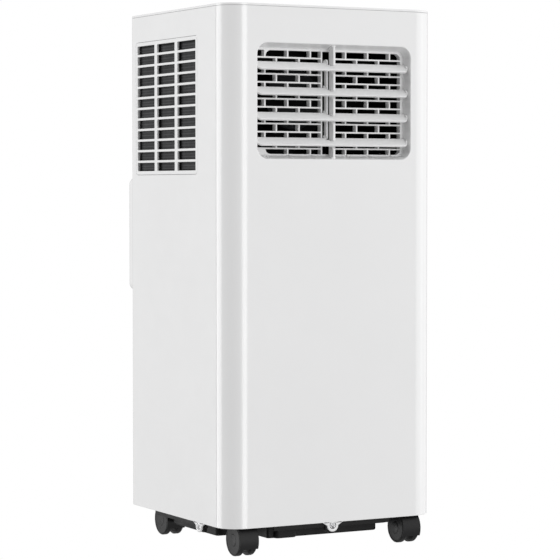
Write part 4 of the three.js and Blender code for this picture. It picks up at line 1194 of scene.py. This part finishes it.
front_skin()
for side in (-1, 1):
    side_skin(side)
rear_skin()
exhaust_cover()
exhaust_ring()
top_lid()
for side in (-1, 1):
    intake(side)
vent_grille()
support_bar()
for i, pivot in enumerate(LOUVERS, 1):
    louver_piece(i, pivot)
link_piece()
keys()
drain()
gland()
tray()
screw("front_tab_screw", along_y, FRONT + 0.4, 1)
screw("left_tab_screw", along_x, -SIDE + 0.4, 1)
screw("right_tab_screw", along_x, SIDE - 0.4, -1)
for corner in CASTERS:
    caster(corner)
finned_coil("evaporator_coil", "cold_coil")
finned_coil("condenser_coil", "hot_coil")
blower("upper_blower", "upper_fan_wheel")
blower("lower_blower", "lower_fan_wheel")
motor("upper_blower_motor", "upper_fan_motor")
motor("lower_blower_motor", "lower_fan_motor")
compressor()
control_circuit()

for name, mat in (
    ("middle_tray", TRIM), ("upper_blower_scroll", DUCT), ("lower_blower_scroll", DUCT),
):
    mesh = frame["nodes"][name].data
    mesh.materials.clear()
    mesh.materials.append(mat)

# ---- scene


AMBIENT = 0.49
BACKDROP = 1.0


def set_world():
    """The backdrop is plain white, and it lights the object a little less than it shows."""
    world = bpy.data.worlds.new("studio")
    bpy.context.scene.world = world
    world.use_nodes = True
    background = world.node_tree.nodes["Background"]
    background.inputs["Color"].default_value = (1, 1, 1, 1)
    path = node(world, "ShaderNodeLightPath")
    level = node(world, "ShaderNodeMapRange")
    level.inputs["To Min"].default_value = AMBIENT
    level.inputs["To Max"].default_value = BACKDROP
    link(world, path.outputs["Is Camera Ray"], level.inputs["Value"])
    link(world, level.outputs["Result"], background.inputs["Strength"])
    bpy.context.scene.view_settings.view_transform = "Standard"
    bpy.context.scene.view_settings.look = "None"


def soft_light(name, azimuth, height, distance, width, tall, power, aim=(0, 0, 0.33)):
    """An area light at an azimuth measured from straight in front, positive to the right."""
    data = bpy.data.lights.new(name, "AREA")
    data.shape = "RECTANGLE"
    data.size, data.size_y = width, tall
    data.energy = power
    light = bpy.data.objects.new(name, data)
    bpy.context.scene.collection.objects.link(light)
    a = radians(azimuth)
    light.location = (distance * sin(a), -distance * cos(a), height)
    way = Vector(aim) - light.location
    light.rotation_euler = way.to_track_quat("-Z", "Y").to_euler()
    light.visible_camera = False


def set_lights():
    soft_light("key_right", 90, 0.7, 2.6, 2.4, 2.8, 15)
    soft_light("front_right", 56, 0.8, 2.6, 1.6, 2.6, 13)
    soft_light("fill_left", -123, 0.6, 2.6, 2.2, 3.2, 49, (0, 0, 0.35))
    soft_light("strip", 7, 0.5, 2.4, 0.85, 2.6, 21)
    soft_light("top", 0, 2.6, 0.3, 1.6, 1.6, 13)


def set_camera():
    data = bpy.data.cameras.new("camera")
    data.lens = 148.6
    data.sensor_width = 36
    data.clip_end = 50
    camera = bpy.data.objects.new("camera", data)
    bpy.context.scene.collection.objects.link(camera)
    pitch, yaw = radians(90 - 2.229), radians(-28.54)
    camera.location = (-1.384, -2.553, 0.436)
    camera.rotation_euler = (pitch, 0, yaw)
    bpy.context.scene.camera = camera


set_world()
set_lights()
set_camera()
